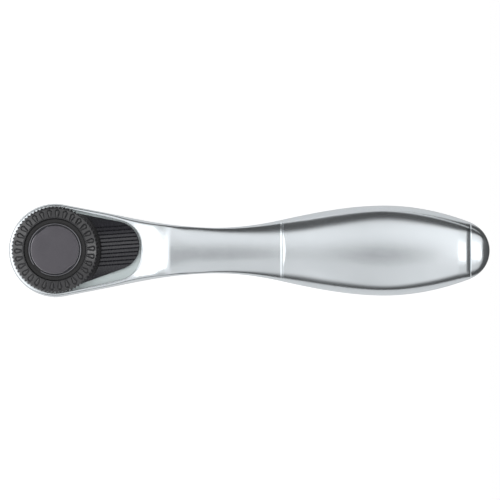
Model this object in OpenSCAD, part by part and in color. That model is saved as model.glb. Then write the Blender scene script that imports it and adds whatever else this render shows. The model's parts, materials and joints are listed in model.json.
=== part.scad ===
// Bit ratchet: a small reversible ratchet with a thumbwheel, for quarter-inch hexagon bits.
// Sizes are millimetres. The origin is on the drive axis, in the plane of the underside.
// +X runs along the handle and +Z points to the thumbwheel.

/* [Drive spindle] */
// Across flats of the hexagon bit
hex_af = 6.35; // [5:0.05:7]
// Play between the bit and its socket, across flats
hex_play = 0.1; // [0.05:0.01:0.3]
// Depth of the socket from its mouth to the magnet
socket_depth = 9.5; // [8:0.1:10]
// Diameter of the spindle
spindle_d = 12.06; // [11.4:0.02:13]
// Distance between the two flats on the end of the spindle
flats_w = 11.5; // [11.2:0.02:11.8]
// Turn of the two flats
flats_turn = 37; // [0:1:90]
// Depth of the spindle's end below the top of the thumbwheel
spindle_sink = 0.8; // [0.5:0.05:1.2]
// Bevel of the spindle's round end
spindle_bevel = 0.15; // [0.05:0.05:0.25]
// Diameter of the hub that turns in the cover plate
hub_d = 11.2; // [10.4:0.05:12]
// Recess of the socket's mouth above the underside
mouth_recess = 0.2; // [0.1:0.05:0.4]
// Radial running clearance of turning pieces
run_fit = 0.04; // [0.02:0.01:0.06]

/* [Ratchet] */
// Teeth round the gear
gear_teeth = 72; // [60:12:72]
// Step from the spindle out to the roots of the teeth
gear_shoulder = 0.95; // [0.8:0.05:1.3]
// Depth of a gear tooth
tooth_depth = 0.42; // [0.36:0.01:0.5]
// Height of the gear
gear_h = 4.7; // [4:0.1:5.5]
// Play along the axis above and below the gear
end_play = 0.1; // [0.06:0.01:0.15]
// Clearance between engaged teeth, along the radius
mesh_play = 0.1; // [0.07:0.01:0.12]
// Gap between the gear and the pawl when the pawl is level
level_gap = 0.2; // [0.16:0.01:0.3]
// Thickness of the pawl's two arms
pawl_arm = 2.1; // [1.8:0.05:2.4]
// Half of the angle that the pawl spans round the gear
pawl_span = 47; // [42:1:50]
// Diameter of the pin that the pawl rocks on
pawl_pin_d = 2; // [1.6:0.05:2.4]
// Distance of the pawl's pin beyond its arms
pin_offset = 1.6; // [1.2:0.05:2]
// Wall of the pawl behind its pin
pawl_back = 0.9; // [0.7:0.05:1.2]
// Width of the pawl's flat back
pawl_back_w = 4.4; // [4:0.1:5]

/* [Direction switch] */
// Swing of the switch to each side
switch_swing = 4.25; // [3:0.25:6]
// Wall of the switch's ring round its collar
switch_ring = 2.3; // [1.9:0.05:2.8]
// Thickness of the switch's ring
switch_t = 2.75; // [2.2:0.05:3]
// Thickness of the plate that carries the thumb pad
pad_plate_t = 0.55; // [0.5:0.05:1.4]
// Radius of the switch's nose
nose_r = 6.1; // [5.6:0.1:6.8]
// Distance of the nose's centre from the drive axis
nose_x = 15; // [14:0.05:16]
// Height of the thumb pad above the ring
pad_h = 2.5; // [1.8:0.1:3]
// Gap between the thumbwheel and the pad
pad_gap = 0.6; // [0.4:0.05:1]
// Radius of the pad's crown across its ribs
pad_crown_r = 13; // [11:0.5:18]
// Fall of the pad towards its nose, degrees
pad_fall = 7; // [4:0.5:10]
// Spacing of the pad's ribs
rib_pitch = 0.95; // [0.8:0.05:1.3]
// Depth of the grooves between the ribs
rib_depth = 0.35; // [0.2:0.05:0.45]
// Half width of the ribbed part of the pad
rib_zone = 6.2; // [5:0.1:7]
// Gap between the switch and its pocket
switch_gap = 0.1; // [0.08:0.01:0.2]
// Room past the switch's nose in its pocket
nose_room = 0.9; // [0.6:0.05:1.2]
// How much tighter the pocket's corners are than the switch's nose
corner_step = 1.1; // [0.6:0.1:1.3]
// Width of the lug below the switch
lug_w = 3.4; // [3:0.1:3.8]
// Diameter of the spring plunger
plunger_d = 1.9; // [1.6:0.05:2]
// Length of the plunger inside the lug
plunger_seat = 1; // [0.8:0.05:1.4]
// Length of the plunger in front of the lug
plunger_reach = 0.7; // [0.65:0.05:1]
// Gap between the plunger and the pawl's back
plunger_gap = 0.1; // [0.08:0.01:0.15]
// Length of the plunger's spring
spring_l = 3; // [2.4:0.1:3.4]
// Diameter of the spring's wire
spring_wire = 0.25; // [0.2:0.01:0.3]
// Turns of the spring
spring_turns = 4; // [3:1:5]
// Wall of the lug behind the spring
lug_back = 0.4; // [0.3:0.05:0.6]

/* [Head] */
// Wall of the bush that the spindle turns in
bush_wall = 0.9; // [0.7:0.05:1.1]
// Wall of the collar round the bush
collar_wall = 0.78; // [0.6:0.02:1]
// Wall between the switch's pocket and the outside
rim_wall = 1.4; // [1.2:0.05:1.8]
// Width of the flat rim beside the switch's pocket
rim_w = 0.76; // [0.6:0.02:1.1]
// Depth of the switch's pocket
pocket_depth = 3; // [2.9:0.05:3.6]
// Thickness of the web between the switch and the mechanism
web_t = 1.4; // [1.2:0.05:2]
// Thickness of the cover plate
cover_t = 1.15; // [0.9:0.05:1.4]
// Wall of the head round the cover plate
cover_wall = 1; // [0.8:0.05:1.3]
// Radius of the cover plate's nose
cover_nose_r = 7.4; // [7:0.1:7.8]
// Distance of the cover nose's centre from the drive axis
cover_nose_x = 13.2; // [12.8:0.1:13.6]
// Diameter of the cover screws' thread
screw_d = 1.6; // [1.4:0.05:1.8]
// Diameter of the cover screws' heads
screw_head_d = 2.8; // [2.4:0.05:3]
// Length of the cover screws
screw_l = 4.5; // [3.5:0.1:5]
// Thickness of the washer above the gear
gear_washer_t = 0.5; // [0.3:0.05:0.7]
// Section of the drag ring on the spindle
drag_ring_d = 1; // [0.8:0.05:1.2]
// Diameter of the magnet in the socket
magnet_d = 5; // [4:0.1:5.4]
// Thickness of the magnet
magnet_t = 2; // [1.5:0.1:2.4]
// Wire of the ring that holds the bit
bit_ring_wire = 0.76; // [0.6:0.02:0.8]
// Height of the bit ring above the socket's mouth
bit_ring_rise = 2.4; // [2:0.1:4]

/* [Thumbwheel] */
// Inset of the thumbwheel from the outside of the head
wheel_inset = 0.8; // [0.5:0.05:1.2]
// Height of the thumbwheel
wheel_h = 4.65; // [4:0.05:5.5]
// Height of the knurled edge
knurl_h = 3.8; // [3.2:0.05:4]
// Teeth of the knurl
knurl_teeth = 70; // [50:2:80]
// Depth of the knurl
knurl_depth = 0.4; // [0.2:0.05:0.5]
// Finger dimples round the face
dimples = 30; // [20:1:32]
// Turn of the first dimple
dimple_turn = 2; // [0:1:12]
// Length of a dimple
dimple_l = 2; // [1.5:0.1:2.2]
// Width of a dimple at its outer end
dimple_w = 1.2; // [0.8:0.05:1.3]
// Width of the sloping band round the spindle
band_w = 1.05; // [0.6:0.05:1.2]
// Width of the snap ring that shows round the spindle
snap_ring_w = 0.68; // [0.5:0.02:0.8]
// Thickness of the snap ring
snap_ring_t = 0.3; // [0.25:0.01:0.4]
// Direction of the opening in the snap ring
snap_ring_turn = 226; // [0:1:359]
// Thickness of the spring washer under the wheel
wheel_washer_t = 0.3; // [0.2:0.02:0.35]

/* [Handle] */
// Distance from the drive axis to the end of the handle
handle_l = 108.5; // [100:0.5:125]
// Taper of the head's sides, degrees
taper = 11; // [9:0.5:12]
// Distance from the drive axis to the start of the ramp behind the head
ramp_x = 20.6; // [20.4:0.1:22]
// Length of the ramp
ramp_l = 8; // [6:0.1:10]
// Distance from the drive axis to the waist of the neck
neck_x = 40.1; // [36:0.1:44]
// Width of the waist
neck_w = 11.33; // [10:0.1:13]
// Thickness of the neck
neck_t = 7.4; // [6:0.1:9]
// Distance from the drive axis to the start of the grip
grip_x = 56.35; // [52:0.1:62]
// Width at the start of the grip
grip_w = 15.3; // [13:0.1:17]
// Thickness at the start of the grip
grip_t = 8.2; // [7:0.1:9.4]
// Distance from the drive axis to the grip's widest place
belly_x = 82.1; // [76:0.1:88]
// Width of the grip's widest place
belly_w = 22.54; // [19:0.1:26]
// Thickness of the grip's widest place
belly_t = 11; // [9:0.1:11]
// Length of the rounded end behind the grip
end_l = 5.05; // [4:0.05:7]
// Width at the end of the grip
end_w = 14.35; // [12:0.1:16]
// Thickness at the end of the grip
end_t = 8.8; // [7:0.1:9.6]
// Step up from the neck and the end onto the grip
grip_step = 0.3; // [0.1:0.05:0.5]
// Length of the round on that step
step_l = 1; // [0.4:0.05:1.4]
// Diameter of the nub at each side of the head
nub_d = 1.7; // [1.2:0.1:2.2]
// Height of the nubs
nub_h = 0.2; // [0.1:0.05:0.4]
// Squareness of the section at the head
head_square = 50; // [30:1:60]
// Squareness of the section at the grip
grip_square = 4; // [3:0.1:6]

/* [Hidden] */
$fn = 96;

// How far a cut runs past the face that it starts from
past = 1;
// Clearance of pieces that are fixed in a seat
seat_fit = 0.02;
// Gap between faces that lie on each other
face_gap = 0.05;
// Clearance between a washer and the spindle
washer_gap = 0.08;
// Room past the end of a screw
screw_room = 0.3;
// Wall that is left above the pawl's pin, and the pin's gap below it
pin_roof = 0.3;
pin_gap = 0.1;

// Radii, from the drive axis outwards
hex_r = (hex_af + hex_play) / 2 / cos(30);
spindle_r = spindle_d / 2;
bush_r = spindle_r + run_fit + bush_wall;
collar_r = bush_r + seat_fit + collar_wall;
ring_bore_r = collar_r + run_fit;
switch_r = ring_bore_r + switch_ring;
ring_room_r = switch_r + switch_gap;
head_r = ring_room_r + rim_wall;
pocket_r = head_r - rim_w;
wheel_r = head_r - wheel_inset;
pad_r = wheel_r + pad_gap;
root_r = spindle_r + gear_shoulder;
tip_r = root_r + tooth_depth;
gear_room = 0.4;
gear_pocket_r = tip_r + gear_room;
cover_r = head_r - cover_wall;

// Heights, from the underside upwards
cover_seat = cover_t + face_gap;
gear_z = cover_seat + end_play;
gear_top = gear_z + gear_h;
cavity_top = gear_top + gear_washer_t + end_play;
pocket_z = cavity_top + web_t;
head_h = pocket_z + pocket_depth;
mid_z = head_h / 2;
switch_z = pocket_z + end_play;
ring_top = switch_z + switch_t;
pad_z = ring_top - pad_plate_t;
shelf_z = pad_z - end_play;
collar_top = head_h - face_gap;
wheel_washer_z = collar_top + face_gap / 2;
wheel_z = wheel_washer_z + wheel_washer_t + face_gap;
wheel_top = wheel_z + wheel_h;
spindle_top = wheel_top - spindle_sink;
snap_ring_lip = 0.2;
snap_ring_z = spindle_top - snap_ring_lip - snap_ring_t;
flats_rise = 0.7;
flats_z = wheel_z + flats_rise;

// The pawl: its arms lie round the gear, and it rocks by the angle that seats its teeth
pawl_in_r = tip_r + level_gap;
pawl_out_r = pawl_in_r + pawl_arm;
pawl_x = pawl_out_r + pin_offset;
pawl_pin_r = pawl_pin_d / 2;
pawl_mid = 40;
tooth_bottom_gap = 0.02;
pawl_rock = asin((level_gap + tooth_depth - mesh_play - tooth_bottom_gap) / (pawl_x * sin(pawl_mid)));
pawl_room = 0.3;
pawl_side_gap = 0.25;
pawl_sweep_r = pawl_out_r + pawl_x * sin(pawl_rock) * sin(pawl_span) + pawl_room;
pawl_back_x = pawl_x + pawl_pin_r + pawl_back;
pawl_z = cover_seat + pawl_side_gap;
pawl_top = cavity_top - pawl_side_gap;

// The switch's lug, plunger and spring, along the switch's own axis
plunger_tip = pawl_back_x + plunger_gap;
lug_front = plunger_tip + plunger_reach;
plunger_end = lug_front + plunger_seat;
spring_end = plunger_end + spring_l;
lug_end = spring_end + lug_back;
lug_floor_gap = 0.6;
lug_z = cover_seat + lug_floor_gap;
plunger_z = (pawl_z + pawl_top) / 2;
plunger_r = plunger_d / 2;
lug_bore_r = plunger_r + run_fit;
lug_room = 0.3;
lug_sweep = lug_end * sin(switch_swing) + lug_w / 2 + lug_room;
window_gap = 0.5;
window_x = lug_front - window_gap;
window_end = norm([lug_end, lug_w / 2]) + lug_room;

// The switch's pocket holds the switch at both ends of its swing
pocket_corner_r = nose_r - corner_step;
pocket_corner_x = nose_x + corner_step + nose_room;
pocket_corner_y = nose_x * sin(switch_swing) + corner_step + switch_gap;

// Cover screws: two beside the nose and one at the far side of the head
screw_r = screw_d / 2;
screw_head_r = screw_head_d / 2;
screw_edge = 0.25;
screw_top = 0.1;
screw_hole_gap = 0.1;
far_screw_x = -(cover_r - screw_head_r - screw_edge);
near_screw_step = 2.1;
near_screw_x = cover_nose_x + near_screw_step;
near_screw_y = sqrt(pow(cover_nose_r - screw_head_r - screw_edge, 2) - pow(near_screw_x - cover_nose_x, 2));
screw_places = [[far_screw_x, 0], [near_screw_x, near_screw_y], [near_screw_x, -near_screw_y]];

// The handle's stations
handle_end = handle_l - end_l;
ramp_end = ramp_x + ramp_l;

// Points along an arc of radius r about c, from angle a to angle b
function arc(c, r, a, b, steps) =
    [for (i = [0:steps]) let (t = a + (b - a) * i / steps) c + r * [cos(t), sin(t)]];

// Outline that wraps a round of radius r at the axis and a nose of radius s at distance d along X
function teardrop(r, s, d) =
    let (g = asin((r - s) / d))
    concat(arc([0, 0], r, 90 - g, 270 + g, 40), arc([d, 0], s, g - 90, 90 - g, 24));

// The same with a blunt nose, whose two corners of radius s lie at x and at y to both sides
function blunt_teardrop(r, s, x, y) =
    let (g = asin((r - s) / norm([x, y])) - atan2(y, x))
    concat(
        arc([0, 0], r, 90 - g, 270 + g, 40),
        arc([x, -y], s, g - 90, 0, 12),
        arc([x, y], s, 0, 90 - g, 12));

// Outline of a ring of pointed teeth, with a tooth on the X axis
function toothed(teeth, tip, root) =
    [for (i = [0:2 * teeth - 1])
        let (r = i % 2 == 0 ? tip : root, a = 180 * i / teeth)
        r * [cos(a), sin(a)]];

// Smooth curve from (a, p) with slope m to (b, q) with slope n
function bend(x, a, p, m, b, q, n) =
    let (l = b - a, t = (x - a) / l)
    (2 * pow(t, 3) - 3 * pow(t, 2) + 1) * p + (pow(t, 3) - 2 * pow(t, 2) + t) * l * m
    + (3 * pow(t, 2) - 2 * pow(t, 3)) * q + (pow(t, 3) - pow(t, 2)) * l * n;

// Straight climb from 0 to 1 whose two ends are eased over the share e
function ramp(t, e) =
    t <= 0 ? 0
    : t < e ? t * t / (2 * e * (1 - e))
    : t < 1 - e ? (t - e / 2) / (1 - e)
    : t < 1 ? 1 - (1 - t) * (1 - t) / (2 * e * (1 - e))
    : 1;

// Slopes of the outline and of the top where the stations meet
grip_slope = 0.225;
end_slope = -0.38;
grip_rise = 0.05;
end_fall = -0.1;
taper_x = head_r * sin(taper);
ramp_half_w = head_r / cos(taper) - ramp_x * tan(taper);

// The rounded end is part of an ellipse that carries on the grip's slope. It starts at this share of the
// ellipse's long radius.
cap_lean = -end_slope * end_l / (end_w / 2);
cap_start = cap_lean / (1 - cap_lean);

// Half width of the handle at the distance x from the drive axis
function half_width(x) =
    x < taper_x ? sqrt(head_r * head_r - x * x)
    : x < ramp_x ? head_r / cos(taper) - x * tan(taper)
    : x < neck_x ? bend(x, ramp_x, ramp_half_w, -tan(taper), neck_x, neck_w / 2, 0)
    : x < grip_x ? bend(x, neck_x, neck_w / 2, 0, grip_x, grip_w / 2, grip_slope)
    : x < belly_x ? bend(x, grip_x, grip_w / 2, grip_slope, belly_x, belly_w / 2, 0)
    : x < handle_end ? bend(x, belly_x, belly_w / 2, 0, handle_end, end_w / 2, end_slope)
    : let (u = cap_start + (1 - cap_start) * (x - handle_end) / end_l)
        end_w / 2 * sqrt((1 - u * u) / (1 - cap_start * cap_start));

// How much of the grip's step is under the place x: a quarter round at each end of the grip
function quarter_round(t) = sqrt(1 - pow(1 - max(0, min(1, t)), 2));
function on_grip(x) = min(quarter_round((x - grip_x) / step_l), quarter_round((handle_end - x) / step_l));

// Half thickness of the handle at x
ramp_ease = 0.15;
function half_thickness(x) =
    grip_step * on_grip(x) + (
    x < ramp_end ? head_h / 2 - (head_h - neck_t) / 2 * ramp((x - ramp_x) / ramp_l, ramp_ease)
    : x < grip_x ? bend(x, ramp_end, neck_t / 2, 0, grip_x, grip_t / 2, grip_rise)
    : x < belly_x ? bend(x, grip_x, grip_t / 2, grip_rise, belly_x, belly_t / 2 - grip_step, 0)
    : x < handle_end ? bend(x, belly_x, belly_t / 2 - grip_step, 0, handle_end, end_t / 2, end_fall)
    : end_t / 2 * pow(1 - pow((x - handle_end) / end_l, 3), 1 / 3));

// Squareness of the section at x, from the square head to the round grip
function square_at(x) =
    let (t = max(0, min(1, (x - ramp_x) / (grip_x - ramp_x))))
    head_square * pow(grip_square / head_square, t);

// Point j of the half section at x: its reach from the middle plane and its height
section_steps = 16;
section_crowding = 1.8;
function section(x, j) =
    let (t = 1 - 2 * j / section_steps, a = 90 * sign(t) * (1 - pow(1 - abs(t), section_crowding)))
    [half_width(x) * pow(cos(a), 2 / square_at(x)), mid_z + half_thickness(x) * sin(a)];

// Distances from a towards b, without b
function spread(a, b, steps) = [for (i = [0:steps - 1]) a + (b - a) * i / steps];

// The handle is a skin over ribs. Each rib is a half section that stands at a station on the middle line and
// points to one side. The ribs run up one side, fan round the head, come back along the other side and meet
// at the end.
stations = concat(
    spread(0, ramp_x, 6),
    spread(ramp_x, ramp_end, 6),
    spread(ramp_end, grip_x, 9),
    [for (i = [0:4]) grip_x + step_l * (1 - cos(18 * i))],
    spread(grip_x + step_l, handle_end - step_l, 16),
    [for (i = [0:4]) handle_end - step_l * (1 - sin(18 * i))],
    [for (i = [0:6]) handle_end + end_l * sin(90 * i / 7)]);
fan_steps = 20;
last_station = len(stations) - 1;
ribs = concat(
    [for (i = [last_station:-1:0]) [i, 270]],
    [for (k = [1:fan_steps - 1]) [0, 270 - 180 * k / fan_steps]],
    [for (i = [0:last_station]) [i, 90]]);
inner_points = section_steps - 1;
top_line = len(ribs) * inner_points;
under_line = top_line + last_station + 1;
end_point = under_line + last_station + 1;

// Number of the point j of rib r in the skin's list of points
function rib_point(r, j) =
    r == len(ribs) ? end_point
    : j == 0 ? top_line + ribs[r][0]
    : j == section_steps ? under_line + ribs[r][0]
    : r * inner_points + j - 1;

skin_points = concat(
    [for (rib = ribs, j = [1:inner_points])
        let (x = stations[rib[0]], s = section(x, j))
        [x + s[0] * cos(rib[1]), s[0] * sin(rib[1]), s[1]]],
    [for (x = stations) [x, 0, mid_z + half_thickness(x)]],
    [for (x = stations) [x, 0, mid_z - half_thickness(x)]],
    [[handle_l, 0, mid_z]]);
skin_faces = [
    for (r = [0:len(ribs)], j = [0:section_steps - 1])
    let (
        next = (r + 1) % (len(ribs) + 1),
        a = rib_point(r, j), b = rib_point(next, j), c = rib_point(next, j + 1), d = rib_point(r, j + 1))
    for (face = [[a, c, b], [a, d, c]])
    if (face[0] != face[1] && face[1] != face[2] && face[2] != face[0]) face];

module handle_skin() {
    polyhedron(points = skin_points, faces = skin_faces, convexity = 4);
}

// Outline of the room for the gear, the pawl and the lug
module cavity_outline() {
    swing_room = 6;
    room_span = pawl_span + swing_room;
    circle(r = gear_pocket_r);
    polygon(concat([[0, 0]], arc([0, 0], pawl_sweep_r, -room_span, room_span, 24)));
    lug_room_outline(pawl_in_r);
}

// Room for the lug at both ends of its swing, from x onwards
module lug_room_outline(x) {
    translate([x, -lug_sweep]) square([window_end - x, 2 * lug_sweep]);
}

module pocket_outline() {
    polygon(blunt_teardrop(pocket_r, pocket_corner_r, pocket_corner_x, pocket_corner_y));
}

module body() {
    color("silver")
    difference() {
        union() {
            handle_skin();
            for (side = [-1, 1]) translate([0, 0, mid_z]) rotate([-90 * side, 0, 0])
                translate([0, 0, head_r - past]) cylinder(d = nub_d, h = past + nub_h);
        }
        translate([0, 0, pocket_z]) linear_extrude(collar_top - pocket_z) difference() {
            circle(r = ring_room_r);
            circle(r = collar_r);
        }
        translate([0, 0, shelf_z]) linear_extrude(collar_top - shelf_z) difference() {
            pocket_outline();
            circle(r = collar_r);
        }
        translate([0, 0, collar_top]) linear_extrude(head_h) pocket_outline();
        translate([0, 0, cavity_top - past]) cylinder(r = bush_r + seat_fit, h = head_h);
        translate([0, 0, cover_seat - past]) linear_extrude(cavity_top - cover_seat + past) cavity_outline();
        translate([0, 0, cavity_top - past]) linear_extrude(shelf_z - cavity_top + 2 * past)
            lug_room_outline(window_x);
        translate([0, 0, -past]) linear_extrude(cover_seat + past)
            polygon(teardrop(cover_r + face_gap, cover_nose_r + face_gap, cover_nose_x));
        translate([pawl_x, 0, 0]) cylinder(r = pawl_pin_r + seat_fit, h = pocket_z - pin_roof);
        for (p = screw_places) translate(p) cylinder(r = screw_r + seat_fit, h = screw_l + screw_room);
    }
}

// Foot of the pawl's pin in the cover plate
pin_foot = 0.5;

module cover_plate() {
    color("dimgray")
    difference() {
        linear_extrude(cover_t) polygon(teardrop(cover_r, cover_nose_r, cover_nose_x));
        translate([0, 0, -past]) cylinder(r = hub_d / 2 + run_fit, h = cover_seat + 2 * past);
        translate([pawl_x, 0, pin_foot]) cylinder(r = pawl_pin_r + seat_fit, h = cover_seat);
        for (p = screw_places) translate(p) {
            translate([0, 0, -past]) cylinder(r = screw_r + screw_hole_gap, h = cover_seat + 2 * past);
            screw_sink(face_gap);
        }
    }
}

// Countersink of a cover screw, larger than its head by the gap
module screw_sink(gap) {
    depth = screw_head_r - screw_r;
    translate([0, 0, screw_top]) cylinder(r1 = screw_head_r + gap, r2 = screw_r + gap, h = depth);
    translate([0, 0, screw_top - past]) cylinder(r = screw_head_r + gap, h = past);
}

module cover_screws() {
    hex_key = 0.9;
    key_depth = 0.6;
    color("black")
    for (p = screw_places) translate([p[0], p[1], screw_top]) difference() {
        union() {
            cylinder(r1 = screw_head_r, r2 = screw_r, h = screw_head_r - screw_r);
            cylinder(r = screw_r, h = screw_l - screw_top);
        }
        translate([0, 0, -past]) cylinder(d = hex_key, h = past + key_depth, $fn = 6);
    }
}

module spindle_bush() {
    color("darkgoldenrod")
    translate([0, 0, cavity_top]) difference() {
        cylinder(r = bush_r, h = collar_top - cavity_top);
        translate([0, 0, -past]) cylinder(r = spindle_r + run_fit, h = head_h);
    }
}

module pawl_pin() {
    foot = pin_foot + face_gap;
    color("gray")
    translate([pawl_x, 0, foot]) cylinder(r = pawl_pin_r, h = pocket_z - pin_roof - pin_gap - foot);
}

// The end of the spindle with its two flats, larger than the spindle by the gap
module flatted(gap, h) {
    intersection() {
        cylinder(r = spindle_r + gap, h = h);
        rotate(flats_turn) translate([-spindle_d, -flats_w / 2 - gap, 0])
            cube([2 * spindle_d, flats_w + 2 * gap, h]);
    }
}

socket_top = mouth_recess + socket_depth;
drag_ring_r = drag_ring_d / 2;
drag_ring_z = pocket_z + pocket_depth / 2;
ring_room = 0.1;
drag_groove_w = drag_ring_d + ring_room;
bit_groove_depth = 0.22;
bit_groove_r = hex_r + bit_groove_depth;
bit_groove_w = bit_ring_wire + ring_room;
bit_ring_z = mouth_recess + bit_ring_rise;
snap_groove = 0.35;

// The flatted end with its bevel
module spindle_end() {
    h = spindle_top - flats_z + past;
    translate([0, 0, flats_z - past]) intersection() {
        flatted(0, h);
        union() {
            cylinder(r = spindle_r, h = h - spindle_bevel);
            translate([0, 0, h - spindle_bevel])
                cylinder(r1 = spindle_r, r2 = spindle_r - spindle_bevel, h = spindle_bevel);
        }
    }
}

module ratchet_gear() {
    mouth_chamfer = 0.6;
    color("slategray")
    difference() {
        union() {
            translate([0, 0, mouth_recess]) cylinder(d = hub_d, h = gear_z - mouth_recess + past);
            translate([0, 0, gear_z]) linear_extrude(gear_h) polygon(toothed(gear_teeth, tip_r, root_r));
            translate([0, 0, gear_top - past]) cylinder(r = spindle_r, h = flats_z - gear_top + past);
            spindle_end();
        }
        translate([0, 0, mouth_recess - past]) cylinder(r = hex_r, h = socket_depth + past, $fn = 6);
        translate([0, 0, mouth_recess])
            cylinder(r1 = hex_r + mouth_chamfer / 2, r2 = hex_r - mouth_chamfer / 2, h = mouth_chamfer);
        translate([0, 0, socket_top - past])
            cylinder(r = magnet_d / 2 + seat_fit, h = magnet_t + past + face_gap);
        translate([0, 0, bit_ring_z - bit_groove_w / 2]) cylinder(r = bit_groove_r, h = bit_groove_w);
        translate([0, 0, drag_ring_z - drag_groove_w / 2]) groove(spindle_r - drag_ring_d, drag_groove_w);
        translate([0, 0, snap_ring_z - seat_fit]) groove(spindle_r - snap_groove, snap_ring_t + 2 * seat_fit);
    }
}

// Cutter of a groove in the spindle, down to the radius r
module groove(r, w) {
    difference() {
        cylinder(r = spindle_r + past, h = w);
        translate([0, 0, -past]) cylinder(r = r, h = w + 2 * past);
    }
}

module washer(bore_r, outer_r, t) {
    difference() {
        cylinder(r = outer_r, h = t);
        translate([0, 0, -past]) cylinder(r = bore_r, h = t + 2 * past);
    }
}

module gear_washer() {
    color("lightgray")
    translate([0, 0, gear_top + end_play / 2]) washer(spindle_r + washer_gap, root_r, gear_washer_t);
}

module drag_ring() {
    squeeze = 0.03;
    color("black")
    translate([0, 0, drag_ring_z]) rotate_extrude()
        translate([spindle_r - drag_ring_r, 0]) circle(r = drag_ring_r - squeeze, $fn = 32);
}

module socket_magnet() {
    color("dimgray")
    translate([0, 0, socket_top]) cylinder(d = magnet_d, h = magnet_t);
}

module bit_retaining_ring() {
    opening = 50;
    color("lightgray")
    translate([0, 0, bit_ring_z]) rotate(opening / 2) rotate_extrude(angle = 360 - opening)
        translate([bit_groove_r - bit_ring_wire / 2 - face_gap, 0]) circle(d = bit_ring_wire, $fn = 32);
}

// Radii of the thumbwheel's face, from the spindle outwards
snap_ring_r = spindle_r + snap_ring_w;
ring_seat_r = snap_ring_r + ring_room;
band_r = ring_seat_r + band_w;
knurl_step = 0.15;
knurl_rise = 0.35;
face_edge_r = wheel_r - knurl_depth - knurl_step;
face_edge_z = wheel_z + knurl_rise + knurl_h;
face_tilt = atan((wheel_top - face_edge_z) / (face_edge_r - band_r));

module thumbwheel() {
    hub_gap = 0.03;
    crest = 0.25;
    foot_bevel = 0.3;
    knurl_root = 0.5;
    knurl_bore_r = face_edge_r - knurl_root;
    color("#2b2b2e")
    difference() {
        union() {
            translate([0, 0, wheel_z]) rotate_extrude() polygon([
                [ring_seat_r - past, 0],
                [face_edge_r - foot_bevel, 0],
                [face_edge_r, foot_bevel],
                [face_edge_r, face_edge_z - wheel_z],
                [band_r + crest, wheel_h - crest * tan(face_tilt)],
                [band_r, wheel_h],
                [ring_seat_r, snap_ring_z - wheel_z],
                [ring_seat_r - past, snap_ring_z - wheel_z]]);
            translate([0, 0, wheel_z + knurl_rise]) linear_extrude(knurl_h) difference() {
                polygon(toothed(knurl_teeth, wheel_r, wheel_r - knurl_depth));
                circle(r = knurl_bore_r);
            }
            translate([0, 0, wheel_z]) cylinder(r = ring_seat_r - past / 2, h = snap_ring_z - wheel_z);
        }
        translate([0, 0, wheel_z - past])
            cylinder(r = spindle_r + hub_gap, h = flats_z - wheel_z + past + hub_gap);
        translate([0, 0, flats_z]) flatted(hub_gap, wheel_h);
        for (i = [0:dimples - 1]) rotate(dimple_turn + 360 / dimples * i) dimple();
    }
}

// Teardrop hollow in the wheel's sloping face, wide at the outer end
module dimple() {
    margin = (face_edge_r - band_r - dimple_l * cos(face_tilt)) / 2;
    r = band_r + margin;
    z = wheel_top - margin * tan(face_tilt);
    lift = 0.1;
    translate([r, 0, z + lift]) rotate([0, 90 + face_tilt, 0])
        cylinder(r1 = dimple_w / 4, r2 = dimple_w / 2, h = dimple_l, $fn = 32);
}

module wheel_snap_ring() {
    opening = 22;
    in_r = spindle_r - snap_groove + face_gap;
    color("lightgray")
    translate([0, 0, snap_ring_z]) rotate(snap_ring_turn + opening / 2) rotate_extrude(angle = 360 - opening)
        translate([in_r, 0]) square([snap_ring_r - in_r, snap_ring_t]);
}

module wheel_washer() {
    color("lightgray")
    translate([0, 0, wheel_washer_z])
        washer(spindle_r + washer_gap, bush_r + collar_wall / 2, wheel_washer_t);
}

// Everything on the nose's side that lies outside a circle round the drive axis
module outside_ring(r) {
    reach = 2 * (nose_x + nose_r);
    difference() {
        translate([0, -reach / 2]) square(reach);
        circle(r = r);
    }
}

module direction_switch() {
    crown_z = ring_top + pad_h;
    tilt_x = pad_r;
    grooves = floor(rib_zone / rib_pitch);
    reach = nose_x + nose_r;
    color("#1e1e20")
    rotate(switch_swing) difference() {
        union() {
            difference() {
                translate([0, 0, switch_z]) linear_extrude(switch_t)
                    polygon(teardrop(switch_r, nose_r, nose_x));
                translate([0, 0, switch_z - past]) linear_extrude(pad_z - switch_z + past)
                    outside_ring(switch_r + seat_fit);
            }
            intersection() {
                translate([0, 0, ring_top - past / 2]) linear_extrude(2 * pad_h) difference() {
                    polygon(teardrop(switch_r, nose_r, nose_x));
                    circle(r = pad_r);
                }
                translate([tilt_x, 0, crown_z - pad_crown_r]) rotate([0, 90 + pad_fall, 0])
                    translate([0, 0, -reach]) cylinder(r = pad_crown_r, h = 2 * reach);
            }
            translate([lug_front, -lug_w / 2, lug_z])
                cube([lug_end - lug_front, lug_w, pad_z - lug_z + pad_plate_t / 2]);
        }
        translate([0, 0, switch_z - past]) cylinder(r = ring_bore_r, h = switch_t + 2 * past);
        translate([lug_front - past, 0, plunger_z]) rotate([0, 90, 0])
            cylinder(r = lug_bore_r, h = spring_end - lug_front + past);
        for (i = [-grooves:grooves]) {
            turn = asin(i * rib_pitch / pad_crown_r);
            translate([tilt_x, 0, crown_z - pad_crown_r]) rotate([0, pad_fall, 0]) rotate([-turn, 0, 0])
                translate([-reach, 0, pad_crown_r]) rotate([45, 0, 0])
                translate([0, -rib_depth / sqrt(2), -rib_depth / sqrt(2)])
                cube([2 * reach, rib_depth * sqrt(2), rib_depth * sqrt(2)]);
        }
    }
}

module plunger() {
    color("lightgray")
    rotate(switch_swing) translate([plunger_tip, 0, plunger_z]) rotate([0, 90, 0]) {
        translate([0, 0, plunger_r]) cylinder(r = plunger_r, h = plunger_end - plunger_tip - plunger_r);
        intersection() {
            translate([0, 0, plunger_r]) sphere(r = plunger_r);
            cylinder(r = plunger_r, h = plunger_r);
        }
    }
}

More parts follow.
